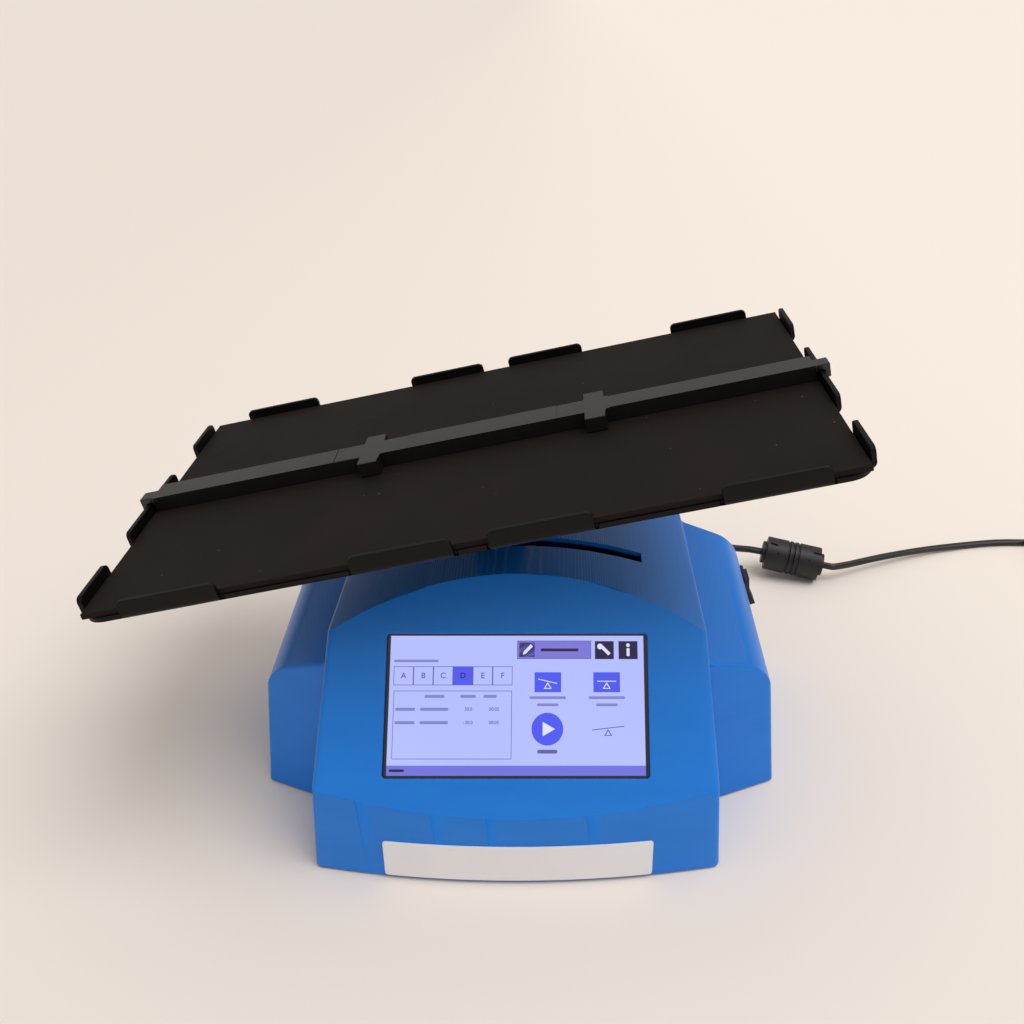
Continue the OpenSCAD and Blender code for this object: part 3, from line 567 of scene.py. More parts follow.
def settle(piece: Object, surface: TrueSurface | None = None) -> Object:
    """Turns a piece's modifiers into plain mesh with soft normals.

    Args:
        piece: The piece with its modifiers.
        surface: The solid's surface, where the piece stands for a solid.

    Returns:
        The same piece, with no modifiers.
    """
    graph = bpy.context.evaluated_depsgraph_get()
    mesh = bpy.data.meshes.new_from_object(piece.evaluated_get(graph), depsgraph=graph)
    piece.modifiers.clear()
    piece.data = mesh
    soften(mesh, surface)
    return piece


def start_growth(name: str, sizes: dict[str, str]) -> tuple[NodeTree, Node]:
    """Starts a geometry tree.

    Args:
        name: The tree's name.
        sizes: The label of each input to its kind, such as "Float".

    Returns:
        The tree, and its input node with the geometry and the sizes.
    """
    tree = bpy.data.node_groups.new(name, "GeometryNodeTree")
    for label, kind in {"Geometry": "Geometry", **sizes}.items():
        tree.interface.new_socket(label, in_out="INPUT", socket_type=f"NodeSocket{kind}")
    tree.interface.new_socket("Geometry", in_out="OUTPUT", socket_type="NodeSocketGeometry")
    return tree, add_node(tree, "NodeGroupInput")


def end_growth(tree: NodeTree, geometry: NodeSocket, material: Material) -> None:
    """Ends a geometry tree: makes its instances real and gives them their material.

    Args:
        tree: The tree.
        geometry: What it made.
        material: The material.
    """
    real = add_node(tree, "GeometryNodeRealizeInstances", {0: geometry})
    dressed = add_node(tree, "GeometryNodeSetMaterial", {0: real.outputs[0], "Material": material})
    add_node(tree, "NodeGroupOutput", {0: dressed.outputs[0]})


def grow(piece: Object, tree: NodeTree, sizes: dict[str, float]) -> Object:
    """Runs a geometry tree on a piece.

    Args:
        piece: The points or lines that it starts from.
        tree: The tree.
        sizes: The label of each input to its value.

    Returns:
        The same piece, as the plain mesh that the tree made.
    """
    modifier = piece.modifiers.new(tree.name, "NODES")
    modifier.node_group = tree
    keys = {item.name: item.identifier for item in tree.interface.items_tree
            if item.in_out == "INPUT"}
    for label, value in sizes.items():
        modifier[keys[label]] = value
    return settle(piece)


@dataclass
class EasedPart:
    """A rigid part with its sharp edges eased, which stands for its CAD node.

    A round takes up to 1/face_share of its narrower face. Along a curve, where edges turn within
    bends_deg, it takes up to 1/bend_share of the curve's radius. Edges with room for less than
    least_share of ease_mm stay sharp, and the others are evened with their neighbours.
    """

    node: str
    finish: Finish
    ease_mm: float
    segments: int = 2
    merge_m: float = 1e-6
    flat_deg: float = 0.3
    sharp_deg: float = 28.0
    narrow_deg: float = 70.0
    most_edges: int = 3
    face_share: float = 2.2
    bend_share: float = 2.5
    bends_deg: Spot = (1.0, 40.0)
    least_share: float = 0.15
    evening: int = 2

    def room(self, edge: BMEdge) -> float:
        """Measures how large a round an edge has room for.

        Args:
            edge: A sharp edge of the merged copy.

        Returns:
            The radius in metres that its two faces and its own curve leave room for.
        """
        start, end = (vert.co for vert in edge.verts)
        way = (end - start).normalized()
        widths = [max((v.co - start - way * (v.co - start).dot(way)).length for v in face.verts)
                  for face in edge.link_faces]
        room = min(widths) / self.face_share
        slight, strong = map(math.radians, self.bends_deg)
        for vert in edge.verts:
            for other in vert.link_edges:
                if other is edge or not self.is_sharp(other):
                    continue
                toward = (other.other_vert(vert).co - vert.co).normalized()
                away = (vert.co - edge.other_vert(vert).co).normalized()
                turn = away.angle(toward, 0.0)
                if slight < turn < strong:
                    bend = (edge.calc_length() + other.calc_length()) / 2 / turn
                    room = min(room, bend / self.bend_share)
        return room

    def is_sharp(self, edge: BMEdge) -> bool:
        """Tells whether an edge is sharp enough to be eased."""
        return (len(edge.link_faces) == 2
                and edge.calc_face_angle(0.0) > math.radians(self.sharp_deg))

    def fits(self, vert: BMVert) -> bool:
        """Tells whether the sharp edges at a corner can be rounded without running astray.

        Args:
            vert: The corner.

        Returns:
            False where too many sharp edges meet or a face comes to a narrow point.
        """
        sharp = [edge for edge in vert.link_edges if self.is_sharp(edge)]
        narrow = any(loop.calc_angle() < math.radians(self.narrow_deg) for loop in vert.link_loops)
        return len(sharp) <= self.most_edges and not narrow

    def weigh_edges(self, bm: BMesh) -> None:
        """Gives each sharp edge a bevel weight, less where a small detail leaves little room.

        Args:
            bm: The merged copy, which gets the weights.
        """
        weights = bm.edges.layers.float.new("bevel_weight_edge")
        sharp = [edge for edge in bm.edges if self.is_sharp(edge)]
        rooms = {edge: self.room(edge) for edge in sharp}
        for _ in range(self.evening):
            at_vert = {vert: min(rooms[e] for e in vert.link_edges if e in rooms)
                       for edge in sharp for vert in edge.verts}
            rooms = {edge: min(at_vert[vert] for vert in edge.verts) for edge in sharp}
        for edge in sharp:
            share = min(1.0, rooms[edge] / (self.ease_mm * MM))
            if share > self.least_share and all(self.fits(vert) for vert in edge.verts):
                edge[weights] = share

    def build(self) -> Object:
        """Copies the node's mesh, merges it, rounds its edges and dresses it.

        Returns:
            The piece, riding on the node's body.
        """
        source = frame["nodes"][self.node]
        bm = bmesh.new()
        bm.from_mesh(source.data)
        bmesh.ops.remove_doubles(bm, verts=bm.verts, dist=self.merge_m)
        bmesh.ops.dissolve_limit(bm, angle_limit=math.radians(self.flat_deg), verts=bm.verts,
                                 edges=bm.edges)
        self.weigh_edges(bm)
        piece = link_mesh(f"{self.node}_eased", bm, [self.finish.build()])
        bevel = piece.modifiers.new("ease", "BEVEL")
        bevel.width = self.ease_mm * MM
        bevel.segments = self.segments
        bevel.limit_method = "WEIGHT"
        bevel.use_clamp_overlap = False
        settle(piece, TrueSurface(source.data))
        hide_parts(self.node)
        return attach(piece, source["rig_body"])


@dataclass
class Assembly:
    """A sub-assembly of rigid parts: the node, the finish and the eased edges' mm of each."""

    parts: Parts = ()

    def build(self) -> list[Object]:
        """Eases and dresses each part and returns the pieces."""
        return [EasedPart(*part).build() for part in self.parts]


# ---------- repeated small parts ----------


@dataclass
class SocketShadeRing:
    """Hex sockets sunk in a set of screw heads, made by Geometry Nodes as dark plugs that paint the
    shade in their hollows.
    """

    name: str
    places_mm: Sequence[Place]
    across_mm: float
    depth_mm: float
    body: str

    def tree(self, finish: Material) -> NodeTree:
        """Builds the tree: a six-sided plug on each point.

        Args:
            finish: The dark material of the sockets, which paints their shade.

        Returns:
            The geometry node tree, with named inputs for the socket's sizes.
        """
        tree, given = start_growth("hex_socket_shade", {"Across": "Float", "Depth": "Float"})
        plug = add_node(tree, "GeometryNodeMeshCylinder",
                        {"Vertices": 6, "Depth": given.outputs["Depth"],
                         "Radius": calc(tree, "MULTIPLY", given.outputs["Across"], 0.5)})
        copies = add_node(tree, "GeometryNodeInstanceOnPoints",
                          {"Points": given.outputs["Geometry"], "Instance": plug.outputs["Mesh"]})
        end_growth(tree, copies.outputs["Instances"], finish)
        return tree

    def build(self) -> Object:
        """Places the sockets and turns them into a plain mesh.

        Returns:
            The piece, riding on its body.
        """
        # The sockets are dark plugs: painted shade standing for their hollows.
        finish = PAINTED_STEEL.build()
        bm = bmesh.new()
        for place in self.places_mm:
            bm.verts.new(Vector(place) * MM)
        piece = link_mesh(self.name, bm, [finish])
        grow(piece, self.tree(finish),
             {"Across": self.across_mm * MM, "Depth": self.depth_mm * MM})
        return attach(piece, self.body)


# ---------- display ----------


class Ink(Enum):
    """The colours of the lit screen."""

    PAPER = "#b4beff"
    LINE = "#5c5f9c"
    FAINT = "#7f83c8"
    BUTTON = "#7a75d8"
    DARK = "#1d1440"
    BLUE = "#4a55f0"
    PALE = "#dfe2ff"
    STATUS = "#6f70dc"


def polar(x: float, y: float, radius: float, angle_deg: float) -> Spot:
    """Returns the point on a circle at an angle."""
    angle = math.radians(angle_deg)
    return x + radius * math.cos(angle), y + radius * math.sin(angle)


def arc(x: float, y: float, radius: float, start_deg: float, step_deg: float = 22.5,
        count: int = 5) -> list[Spot]:
    """Returns points along a circle, a step apart: a quarter turn unless told otherwise."""
    return [polar(x, y, radius, start_deg + step_deg * k) for k in range(count)]


@dataclass(frozen=True)
class Strip:
    """A filled rectangle of one ink, with round corners where it has a radius."""

    x: float
    y: float
    w: float
    h: float
    ink: Ink
    layer: int = 1
    corner: float = 0.0

    def outline(self) -> list[Spot]:
        """Lists the rectangle's points.

        Returns:
            Its corners or the points of its round corners, clockwise as seen.
        """
        left, upper = self.x + self.corner, self.y + self.corner
        right, lower = self.x + self.w - self.corner, self.y + self.h - self.corner
        if not self.corner:
            return [(left, upper), (right, upper), (right, lower), (left, lower)]
        return [point for x, y, start in ((right, upper, -90), (right, lower, 0),
                                          (left, lower, 90), (left, upper, 180))
                for point in arc(x, y, self.corner, start)]


@dataclass
class TouchDisplay:
    """The lit picture on the sloped panel: program tabs, a table, round and square keys.

    Places are in millimetres from the lit area's upper left corner, X to the right and Y down.
    """

    width_mm: float = 154.1
    height_mm: float = 81.85
    slope_deg: float = 50.4
    lip_mm: Place = (0.0, -120.0, 64.8)
    middle_mm: float = 47.5
    recess_mm: float = 3.1
    layer_mm: float = 0.06
    hairline_mm: float = 0.35
    status_top_mm: float = 76.1
    letters: str = "ABCDEF"
    chosen_letter: str = "D"
    letter_height_mm: float = 3.4
    first_tab_mm: Spot = (2.4, 18.3)
    tab_mm: Spot = (12.0, 11.2)
    table_mm: Rect = (2.8, 32.7, 71.4, 39.8)
    heads: tuple[Spot, ...] = ((21.5, 12.0), (43.0, 9.5), (57.0, 8.0))
    rows: tuple[tuple[float, str, str], ...] = ((43.6, "30.0", "00:05"), (51.4, "-30.0", "00:05"))
    figure_height_mm: float = 2.0
    figures_x_mm: Spot = (48.0, 63.5)
    edit_key_mm: Rect = (77.1, 2.9, 45.1, 11.0)
    tilt_keys: tuple[Spot, ...] = ((95.8, -2.6), (131.4, 0.0))
    start_key_mm: Spot = (95.6, 55.1)
    start_radius_mm: float = 9.5
    tilt_mark_mm: Spot = (132.0, 54.8)
    board_line_mm: float = 0.5
    pivot_mm: tuple[Spot, ...] = ((0.0, 0.2), (2.4, 4.2), (-2.4, 4.2))
    pivot_hole_mm: tuple[Spot, ...] = ((0.0, 1.4), (1.5, 3.7), (-1.5, 3.7))

    def __post_init__(self) -> None:
        """Opens the mesh that the shapes are drawn into."""
        self.bm = bmesh.new()
        self.inks = list(Ink)

    def spot(self, x: float, y: float, layer: int) -> Vector:
        """Returns a place on the panel in the panel's own frame, in metres."""
        height = -self.recess_mm + self.layer_mm * (layer + 1)
        return Vector((x - self.width_mm / 2, self.height_mm / 2 - y, height)) * MM

    def paint(self, face: BMFace, ink: Ink) -> None:
        """Gives a face its ink and turns it to the viewer.

        Args:
            face: The face.
            ink: Its colour.
        """
        face.material_index = self.inks.index(ink)
        face.normal_update()
        if face.normal.z < 0:
            face.normal_flip()

    def polygon(self, points: Iterable[Spot], ink: Ink, layer: int) -> None:
        """Draws a filled polygon.

        Args:
            points: Its corners, either way round.
            ink: Its colour.
            layer: How far it lies in front of the paper.
        """
        corners = [self.bm.verts.new(self.spot(x, y, layer)) for x, y in points]
        self.paint(self.bm.faces.new(corners), ink)

    def strips(self, *strips: Strip) -> None:
        """Draws filled rectangles."""
        for strip in strips:
            self.polygon(strip.outline(), strip.ink, strip.layer)

    def border(self, x: float, y: float, w: float, h: float, layer: int = 1) -> None:
        """Draws a rectangle's outline, as four strips.

        Args:
            x: Left side.
            y: Upper side.
            w: Width.
            h: Height.
            layer: How far it lies in front of the paper.
        """
        line = self.hairline_mm
        for place in ((x, y, w, line), (x, y + h - line, w, line),
                      (x, y + line, line, h - 2 * line),
                      (x + w - line, y + line, line, h - 2 * line)):
            self.strips(Strip(*place, Ink.LINE, layer))

    def disc(self, x: float, y: float, radius: float, ink: Ink, layer: int = 1) -> None:
        """Draws a filled circle."""
        self.polygon(arc(x, y, radius, 0, 7.5, 48), ink, layer)

    def text(self, words: str, x: float, y: float, height: float, ink: Ink, layer: int = 2) -> None:
        """Draws plain characters, centred on a place.

        Args:
            words: The characters.
            x: Their middle across.
            y: Their middle down.
            height: Height of a capital.
            ink: Their colour.
            layer: How far they lie in front of the paper.
        """
        curve = bpy.data.curves.new("characters", "FONT")
        curve.body = words
        curve.align_x = "CENTER"
        curve.align_y = "CENTER"
        # A capital of the built-in font is 1/1.4 of its size high; the offset thickens its strokes.
        curve.size = height * 1.4
        curve.offset = height * 0.02
        holder = bpy.data.objects.new("characters", curve)
        bpy.context.scene.collection.objects.link(holder)
        graph = bpy.context.evaluated_depsgraph_get()
        mesh = bpy.data.meshes.new_from_object(holder.evaluated_get(graph))
        bpy.data.objects.remove(holder)
        mesh.transform(Matrix.Translation(self.spot(x, y, layer)) @ Matrix.Scale(MM, 4))
        first = len(self.bm.faces)
        self.bm.from_mesh(mesh)
        bpy.data.meshes.remove(mesh)
        self.bm.faces.ensure_lookup_table()
        for face in self.bm.faces[first:]:
            self.paint(face, ink)

    def tilt_icon(self, x: float, y: float, w: float, rise: float, ink: Ink, ground: Ink,
                  layer: int) -> None:
        """Draws a board on a triangular pivot.

        Args:
            x: Middle of the board.
            y: Height of the board's middle.
            w: Length of the board.
            rise: How far its right end stands over its left end.
            ink: Its colour.
            ground: The colour behind it.
            layer: How far it lies in front of the paper.
        """
        left, right, half, line = x - w / 2, x + w / 2, rise / 2, self.board_line_mm
        self.polygon([(left, y + half - line), (right, y - half - line), (right, y - half),
                      (left, y + half)], ink, layer)
        self.polygon([(x + dx, y + dy) for dx, dy in self.pivot_mm], ink, layer)
        self.polygon([(x + dx, y + dy) for dx, dy in self.pivot_hole_mm], ground, layer + 1)

    def draw_table(self) -> None:
        """Draws the row of program tabs and the table under it."""
        x, y = self.first_tab_mm
        w, h = self.tab_mm
        self.strips(Strip(x, 14.3, 27.0, 1.5, Ink.FAINT, corner=0.6))
        for letter in self.letters:
            chosen = letter == self.chosen_letter
            if chosen:
                self.strips(Strip(x, y, w, h, Ink.BLUE))
            self.border(x, y, w, h, 2)
            self.text(letter, x + w / 2, y + h / 2, self.letter_height_mm,
                      Ink.DARK if chosen else Ink.LINE, 3)
            x += w
        self.border(*self.table_mm)
        self.strips(*(Strip(left, 35.2, wide, 1.7, Ink.FAINT, corner=0.7)
                      for left, wide in self.heads))
        for middle, *figures in self.rows:
            self.strips(Strip(4.0, middle - 0.9, 12.0, 1.8, Ink.FAINT, corner=0.7),
                        Strip(19.0, middle - 0.9, 17.0, 1.8, Ink.FAINT, corner=0.7))
            for figure, across in zip(figures, self.figures_x_mm):
                self.text(figure, across, middle, self.figure_height_mm, Ink.LINE)

    def draw_keys(self) -> None:
        """Draws the upper keys, the two tilt keys, the round start key and the tilt mark."""
        self.strips(Strip(*self.edit_key_mm, Ink.BUTTON))
        self.border(*self.edit_key_mm, 2)
        # The edit key's pencil and the bar that stands for its word.
        self.strips(Strip(78.4, 4.0, 9.4, 8.8, Ink.DARK))
        self.polygon([(80.6, 11.3), (81.0, 9.5), (85.4, 5.1), (86.7, 6.4), (82.3, 10.8)],
                     Ink.PALE, 2)
        self.strips(Strip(91.5, 7.6, 23.0, 1.7, Ink.DARK, 2, 0.7))
        # The tools key, with its spanner.
        self.strips(Strip(124.5, 3.2, 11.5, 10.8, Ink.DARK))
        self.polygon([(127.0, 6.2), (128.4, 4.8), (134.0, 10.4), (132.6, 11.8)], Ink.PALE, 2)
        self.disc(127.6, 6.4, 1.7, Ink.PALE, 2)
        # The information key.
        self.strips(Strip(138.9, 3.2, 11.6, 10.8, Ink.DARK))
        self.disc(144.7, 5.6, 1.1, Ink.PALE, 2)
        self.strips(Strip(143.8, 7.4, 1.8, 4.8, Ink.PALE, 2, 0.4))
        for x, rise in self.tilt_keys:
            self.strips(Strip(x - 8.0, 21.8, 16.1, 11.8, Ink.BLUE))
            self.tilt_icon(x, 27.4, 11.5, rise, Ink.PALE, Ink.BLUE, 2)
            self.strips(Strip(x - 11.0, 36.0, 22.0, 1.6, Ink.FAINT, 1, 0.7),
                        Strip(x - 6.5, 40.2, 13.0, 1.6, Ink.FAINT, 1, 0.7))
        x, y = self.start_key_mm
        self.disc(x, y, self.start_radius_mm, Ink.BLUE)
        self.polygon([(x - 2.8, y - 4.2), (x - 2.8, y + 4.2), (x + 4.6, y)], Ink.PALE, 2)
        self.strips(Strip(x - 6.0, y + 11.9, 12.0, 2.2, Ink.LINE, 1, 0.9))
        self.tilt_icon(*self.tilt_mark_mm, 19.4, 2.2, Ink.LINE, Ink.PAPER, 1)

    def build(self) -> list[Object]:
        """Draws the whole picture and lays it on the panel's glass.

        Returns:
            The lit picture, riding on the base.
        """
        self.strips(Strip(0, 0, self.width_mm, self.height_mm, Ink.PAPER, 0),
                    Strip(0, self.status_top_mm, self.width_mm,
                          self.height_mm - self.status_top_mm, Ink.STATUS),
                    Strip(1.6, 78.2, 9.0, 1.5, Ink.DARK, 2, 0.6))
        self.draw_table()
        self.draw_keys()
        self.bm.transform(Matrix.Translation(Vector(self.lip_mm) * MM)
                          @ Matrix.Rotation(math.radians(self.slope_deg), 4, "X")
                          @ Matrix.Translation((0, self.middle_mm * MM, 0)))
        inks = [LitInk(f"screen_{ink.name.lower()}", ink.value).build() for ink in self.inks]
        picture = link_mesh("display_picture", self.bm, inks)
        return [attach(picture, "base")]


# ---------- cord ----------


def ease_between(value: float, span: Spot) -> float:
    """Returns 0 before a span, 1 after it, and a smooth rise within it."""
    t = min(max((value - span[0]) / (span[1] - span[0]), 0.0), 1.0)
    return t * t * (3 - 2 * t)


@dataclass
class TwistTie:
    """The tie round the coil's turns: a flat band bent into a round-cornered loop."""

    middle_mm: Place
    half_mm: Spot = (6.6, 6.3)
    corner_mm: float = 3.0
    width_mm: float = 3.2
    gauge_mm: float = 0.5

    def build(self, out: Vector) -> Object:
        """Builds the band.

        Args:
            out: The level direction across the turns it holds.

        Returns:
            The tie, riding on the base.
        """
        bm = bmesh.new()
        along = Vector((-out.y, out.x, 0))
        u, v = (half - self.corner_mm for half in self.half_mm)
        grid = []
        for lift in (0.0, self.gauge_mm):
            loop = [point for quarter, (x, z) in enumerate(((u, v), (-u, v), (-u, -v), (u, -v)))
                    for point in arc(x, z, self.corner_mm + lift, quarter * 90)]
            grid.append([[bm.verts.new((Vector(self.middle_mm) + out * x + along * side
                                        + Vector((0, 0, z))) * MM) for x, z in loop]
                         for side in (-self.width_mm / 2, self.width_mm / 2)])
        inner, outer = grid
        count = len(inner[0])
        for k in range(count):
            j = (k + 1) % count
            for left, right in (*grid, (inner[0], outer[0]), (inner[1], outer[1])):
                bm.faces.new((left[k], right[k], right[j], left[j]))
        bmesh.ops.recalc_face_normals(bm, faces=bm.faces)
        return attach(link_mesh("coil_tie", bm, [BLACK_NYLON.build()]), "base")


@dataclass
class SupplyCord(Assembly):
    """The low-voltage lead: from its plug, through the ferrite core, to a coil and the adapter."""

    parts: Parts = (("power_plug", BLACK_NYLON, 0.3), ("ferrite_core", BLACK_NYLON, 0.7),
                    ("power_adapter", BLACK_NYLON, 1.5))
    diameter_mm: float = 6.0
    sides: int = 12
    steps: int = 4
    lead_mm: tuple[Place, ...] = (
        (120, 118, 28), (121, 140, 28), (126, 175, 27), (141, 208, 25), (168, 224, 23),
        (192, 223, 22.2), (211, 219, 21.6), (264, 207, 14.7), (281, 208, 13), (324, 228, 10),
        (368, 247, 6), (411, 260, 3.5), (448, 266, 3.2), (480, 266, 3.2), (512, 266, 3.2))
    tail_mm: tuple[Place, ...] = (
        (545, 230, 9), (545, 214, 9.2), (545, 198, 9), (543, 182, 11), (542, 168, 12))
    coil_mm: Spot = (512, 230)
    coil_turns: float = 3.25
    coil_steps: int = 36
    coil_start_deg: float = 90.0
    outer_mm: float = 36.0
    inner_mm: float = 30.0
    top_mm: float = 33.0
    low_mm: float = 3.2
    high_mm: float = 9.4
    inward_turns: Spot = (0.75, 0.98)
    climb_turns: Spot = (1.42, 1.72)
    tie_deg: float = 140.0
    tie_height_mm: float = 6.9

    def smooth(self, route: Sequence[Place]) -> list[Vector]:
        """Lays a smooth line through a route.

        Args:
            route: Places in millimetres.

        Returns:
            The line's points, in millimetres, a few to each stretch of the route.
        """
        knots = [Vector(p) for p in route]
        points = []
        for i in range(len(knots) - 1):
            a, b = knots[max(i - 1, 0)], knots[i]
            c, d = knots[i + 1], knots[min(i + 2, len(knots) - 1)]
            for k in range(self.steps):
                t = k / self.steps
                points.append(0.5 * ((2 * b) + (c - a) * t + (2 * a - 5 * b + 4 * c - d) * t ** 2
                                     + (3 * b - a - 3 * c + d) * t ** 3))
        points.append(knots[-1])
        return points

    def coil(self) -> list[Vector]:
        """Winds the coil: an outer turn, an inner turn and one lying on both.

        Returns:
            Its points after the lead's end and before the tail's start, in millimetres.
        """
        points = []
        for i in range(1, round(self.coil_turns * self.coil_steps)):
            turned = i / self.coil_steps
            inward = ease_between(turned, self.inward_turns)
            climb = ease_between(turned, self.climb_turns)
            radius = (self.outer_mm + (self.inner_mm - self.outer_mm) * inward
                      + (self.top_mm - self.inner_mm) * climb)
            spot = polar(*self.coil_mm, radius, self.coil_start_deg - 360 * turned)
            points.append(Vector((*spot, self.low_mm + (self.high_mm - self.low_mm) * climb)))
        return points

    def path(self) -> list[Vector]:
        """Returns the cord's whole centre line, in metres."""
        return [p * MM for p in self.smooth(self.lead_mm) + self.coil() + self.smooth(self.tail_mm)]

    def sweep(self, material: Material) -> NodeTree:
        """Builds the tree that sweeps a round section along a line of edges.

        Args:
            material: The material of the jacket.

        Returns:
            The geometry node tree, with named inputs for the radius and the number of sides.
        """
        tree, given = start_growth("round_jacket", {"Radius": "Float", "Sides": "Int"})
        line = add_node(tree, "GeometryNodeMeshToCurve", {"Mesh": given.outputs["Geometry"]})
        ring = add_node(tree, "GeometryNodeCurvePrimitiveCircle",
                        {"Resolution": given.outputs["Sides"], "Radius": given.outputs["Radius"]})
        jacket = add_node(tree, "GeometryNodeCurveToMesh",
                          {"Curve": line.outputs["Curve"], "Profile Curve": ring.outputs["Curve"],
                           "Fill Caps": True})
        end_growth(tree, jacket.outputs["Mesh"], material)
        return tree

    def tube(self, path: Sequence[Vector]) -> Object:
        """Sweeps the round jacket along the path.

        Args:
            path: The centre line, in metres.

        Returns:
            The cord's mesh object.
        """
        bm = bmesh.new()
        knots = [bm.verts.new(point) for point in path]
        for start, end in zip(knots, knots[1:]):
            bm.edges.new((start, end))
        material = CORD_PVC.build()
        return grow(link_mesh("supply_cord", bm, [material]), self.sweep(material),
                    {"Radius": self.diameter_mm * MM / 2, "Sides": self.sides})

    def tie(self) -> Object:
        """Builds the twist tie round the coil's turns.

        Returns:
            The tie, riding on the base.
        """
        out = Vector((*polar(0, 0, 1, self.tie_deg), 0))
        middle = Vector((*self.coil_mm, self.tie_height_mm)) + out * self.top_mm
        return TwistTie(tuple(middle)).build(out)

    def build(self) -> list[Object]:
        """Returns:
            The cord, what it passes through and ends in, and its tie, riding on the base.
        """
        path = self.path()
        cord = self.tube(path)
        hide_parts("cord_lead", "cord_coil", "cord_tail")
        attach(cord, "base")
        pieces = super().build()
        tie = self.tie()
        return [cord, *pieces, tie]


# ---------- sub-assemblies ----------


@dataclass
class Housing(Assembly):
    """The printed shell with its plaque, its power jack and the screws under its base."""

    parts: Parts = (("housing_shell", BLUE_PRINT, 0.9), ("label_plate", LABEL_ACRYLIC, 0.3),
                    ("power_jack", BLACK_NYLON, 0.2))
    screws_mm: tuple[Spot, ...] = ((-112, -105), (112, -105), (-154, -22), (154, -22),
                                   (-150, 78), (150, 78), (-60, 80), (60, 80))
    screw_head_mm: float = 1.75
    socket_across_mm: float = 2.3
    socket_depth_mm: float = 0.2

    def build(self) -> list[Object]:
        """Returns the eased parts and the base screws' sockets, drawn as painted shade."""
        sockets = SocketShadeRing("base_screw_socket_shade",
                             [(x, y, self.screw_head_mm) for x, y in self.screws_mm],
                             self.socket_across_mm, self.socket_depth_mm, "base")
        return [*super().build(), sockets.build()]


@dataclass
class PowerSwitch(Assembly):
    """The rocker switch on the right wing: its body and its paddle."""

    parts: Parts = (("switch_body", BLACK_NYLON, 0.5), ("switch_rocker", BLACK_NYLON, 0.5))


@dataclass
class Platform(Assembly):
    """The tray, its mat and what carries them."""

    parts: Parts = (("tray", TRAY_ABS, 0.45), ("tray_mat", MAT_RUBBER, 0.4),
                    ("mount_plate", PAINTED_STEEL, 0.4), ("rocker_arm", BLACK_PRINT, 0.8))


@dataclass
class Divider(Assembly):
    """The bars and cross blocks that part the plates."""

    parts: Parts = tuple((f"divider_{name}", BLACK_PRINT, 0.6) for name in (
        "left_bar", "left_cross", "middle_bar", "right_cross", "right_bar"))


@dataclass
class InnerWorks:
    """The drive, the electronics and the fasteners, whose solids stay as they are."""

    def build(self) -> list[Object]:
        """Gives each plain node the material of its finish.

        Returns:
            The nodes.
        """
        dressed = []
        for finish, names in PLAIN_NODES.items():
            material = finish.build()
            for node in map(frame["nodes"].get, names):
                node.data.materials.clear()
                node.data.materials.append(material)
                dressed.append(node)
        return dressed


# ---------- studio ----------


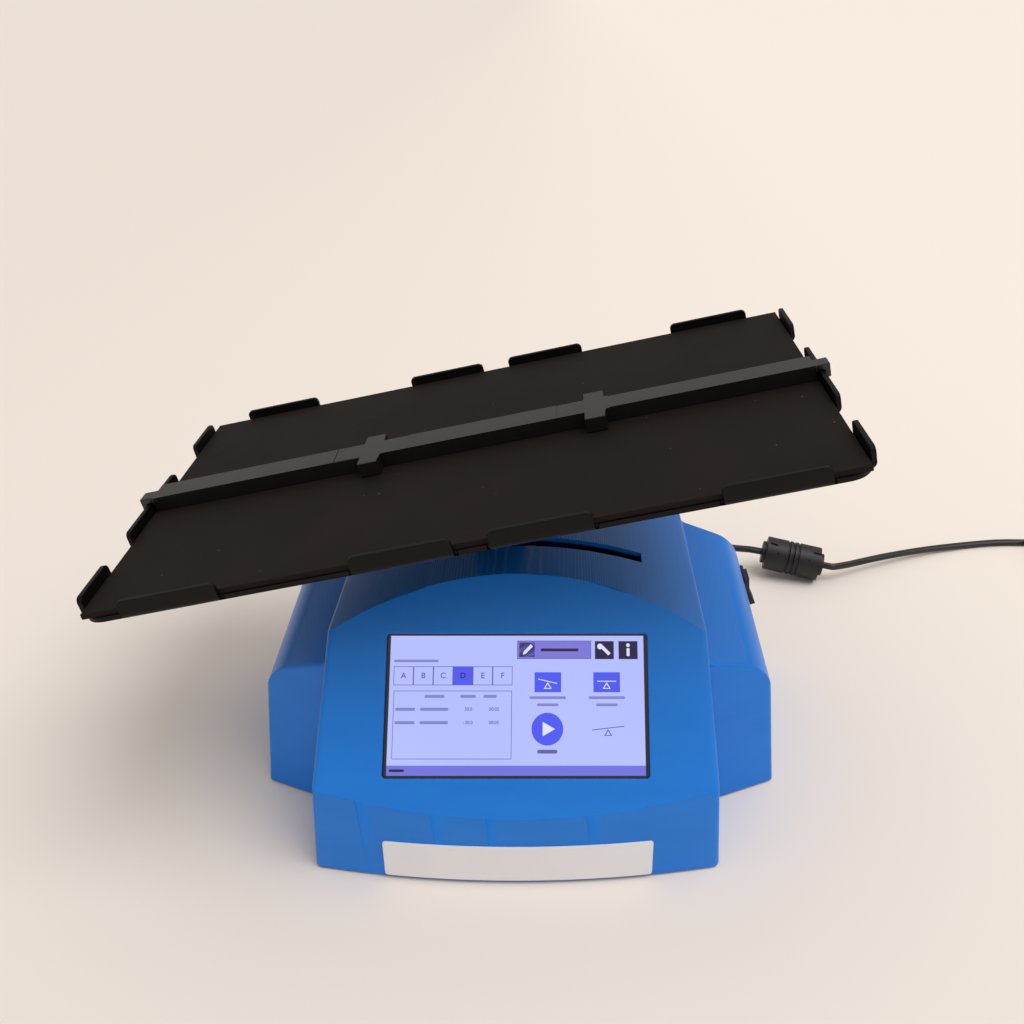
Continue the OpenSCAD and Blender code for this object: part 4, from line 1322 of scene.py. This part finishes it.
@dataclass
class Studio:
    """A pale floor, soft light and the camera."""

    floor_half_m: float = 30.0
    floor_painted_light_colours: tuple[str, str] = ("#eae1d9", "#f6ede4")
    painted_light_turn_m: float = 0.9
    fibres_per_m: float = 900.0
    fibre_depth_mm: float = 0.03
    world_colour: str = "#f8f3ee"
    world_strengths: Spot = (0.38, 0.88)
    key_strength: float = 1.33
    key_spread_deg: float = 42.0
    key_from: Place = (0.6, -0.28, 1.2)
    camera_place: Place = (0.02375, -0.56556, 0.49603)
    camera_pitch_deg: float = 25.95
    lens_mm: float = 35.24
    sensor_mm: float = 36.0
    shift: Spot = (-0.043, -0.0508)
    sight_m: float = 50.0

    def camera(self) -> None:
        """Places the camera."""
        data = bpy.data.cameras.new("camera")
        data.lens = self.lens_mm
        data.sensor_width = self.sensor_mm
        data.shift_x, data.shift_y = self.shift
        data.clip_end = self.sight_m
        holder = bpy.data.objects.new("camera", data)
        holder.location = self.camera_place
        holder.rotation_euler = (math.radians(90 - self.camera_pitch_deg), 0, 0)
        bpy.context.scene.collection.objects.link(holder)
        bpy.context.scene.camera = holder

    def floor(self) -> None:
        """Lays the wide paper floor, whose colour turns a little paler to the right: painted light,
        as if more light fell there.
        """
        bm = bmesh.new()
        bmesh.ops.create_grid(bm, x_segments=4, y_segments=4, size=self.floor_half_m)
        material, tree = new_material("paper_floor")
        place = coordinates(tree)
        bump = add_node(tree, "ShaderNodeBump",
                        {"Height": noise(tree, place, self.fibres_per_m, 2.0),
                         "Distance": self.fibre_depth_mm * MM})
        # Painted light: the floor's colour turns paler towards the right, as if more light fell
        # there.
        share = remap(tree, axis(tree, place, "X"), 0.0, 1.0, -self.painted_light_turn_m,
                      self.painted_light_turn_m, "SMOOTHSTEP")
        left, right = map(linear, self.floor_painted_light_colours)
        cover(tree, {"Base Color": blend(tree, share, left, right), "Roughness": 0.9,
                     "Specular IOR Level": 0.1, "Normal": bump.outputs["Normal"]})
        link_mesh("floor", bm, [material])

    def key(self) -> None:
        """Adds the broad key light from the upper right, even over the whole floor."""
        data = bpy.data.lights.new("key", "SUN")
        data.energy = self.key_strength
        data.angle = math.radians(self.key_spread_deg)
        holder = bpy.data.objects.new("key", data)
        holder.rotation_euler = Vector(self.key_from).to_track_quat("Z", "Y").to_euler()
        bpy.context.scene.collection.objects.link(holder)

    def world(self) -> None:
        """Lights the room from all round, more from above than from the sides."""
        world = bpy.data.worlds.new("room")
        world.use_nodes = True
        tree = world.node_tree
        tree.nodes.clear()
        strength = remap(tree, axis(tree, coordinates(tree), "Z"), *self.world_strengths)
        sky = add_node(tree, "ShaderNodeBackground",
                       {"Color": linear(self.world_colour), "Strength": strength})
        add_node(tree, "ShaderNodeOutputWorld", {"Surface": sky.outputs["Background"]})
        bpy.context.scene.world = world

    def build(self) -> None:
        """Builds the whole studio."""
        self.camera()
        self.floor()
        self.world()
        self.key()
        bpy.context.scene.view_settings.view_transform = "Standard"


def write_sizes() -> None:
    """Brings the view layer up to date."""
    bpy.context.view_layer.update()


def main() -> None:
    """Builds the studio and the shaker's sub-assemblies in order and reports each piece."""
    logging.basicConfig(level=logging.INFO, format="%(message)s")
    Studio().build()
    for assembly in (SupplyCord(), InnerWorks(), Housing(), TouchDisplay(), PowerSwitch(),
                     Platform(), Divider()):
        for piece in assembly.build():
            LOG.info("%s: %s", type(assembly).__name__, piece.name)
    write_sizes()


if __name__ == "__main__":
    main()
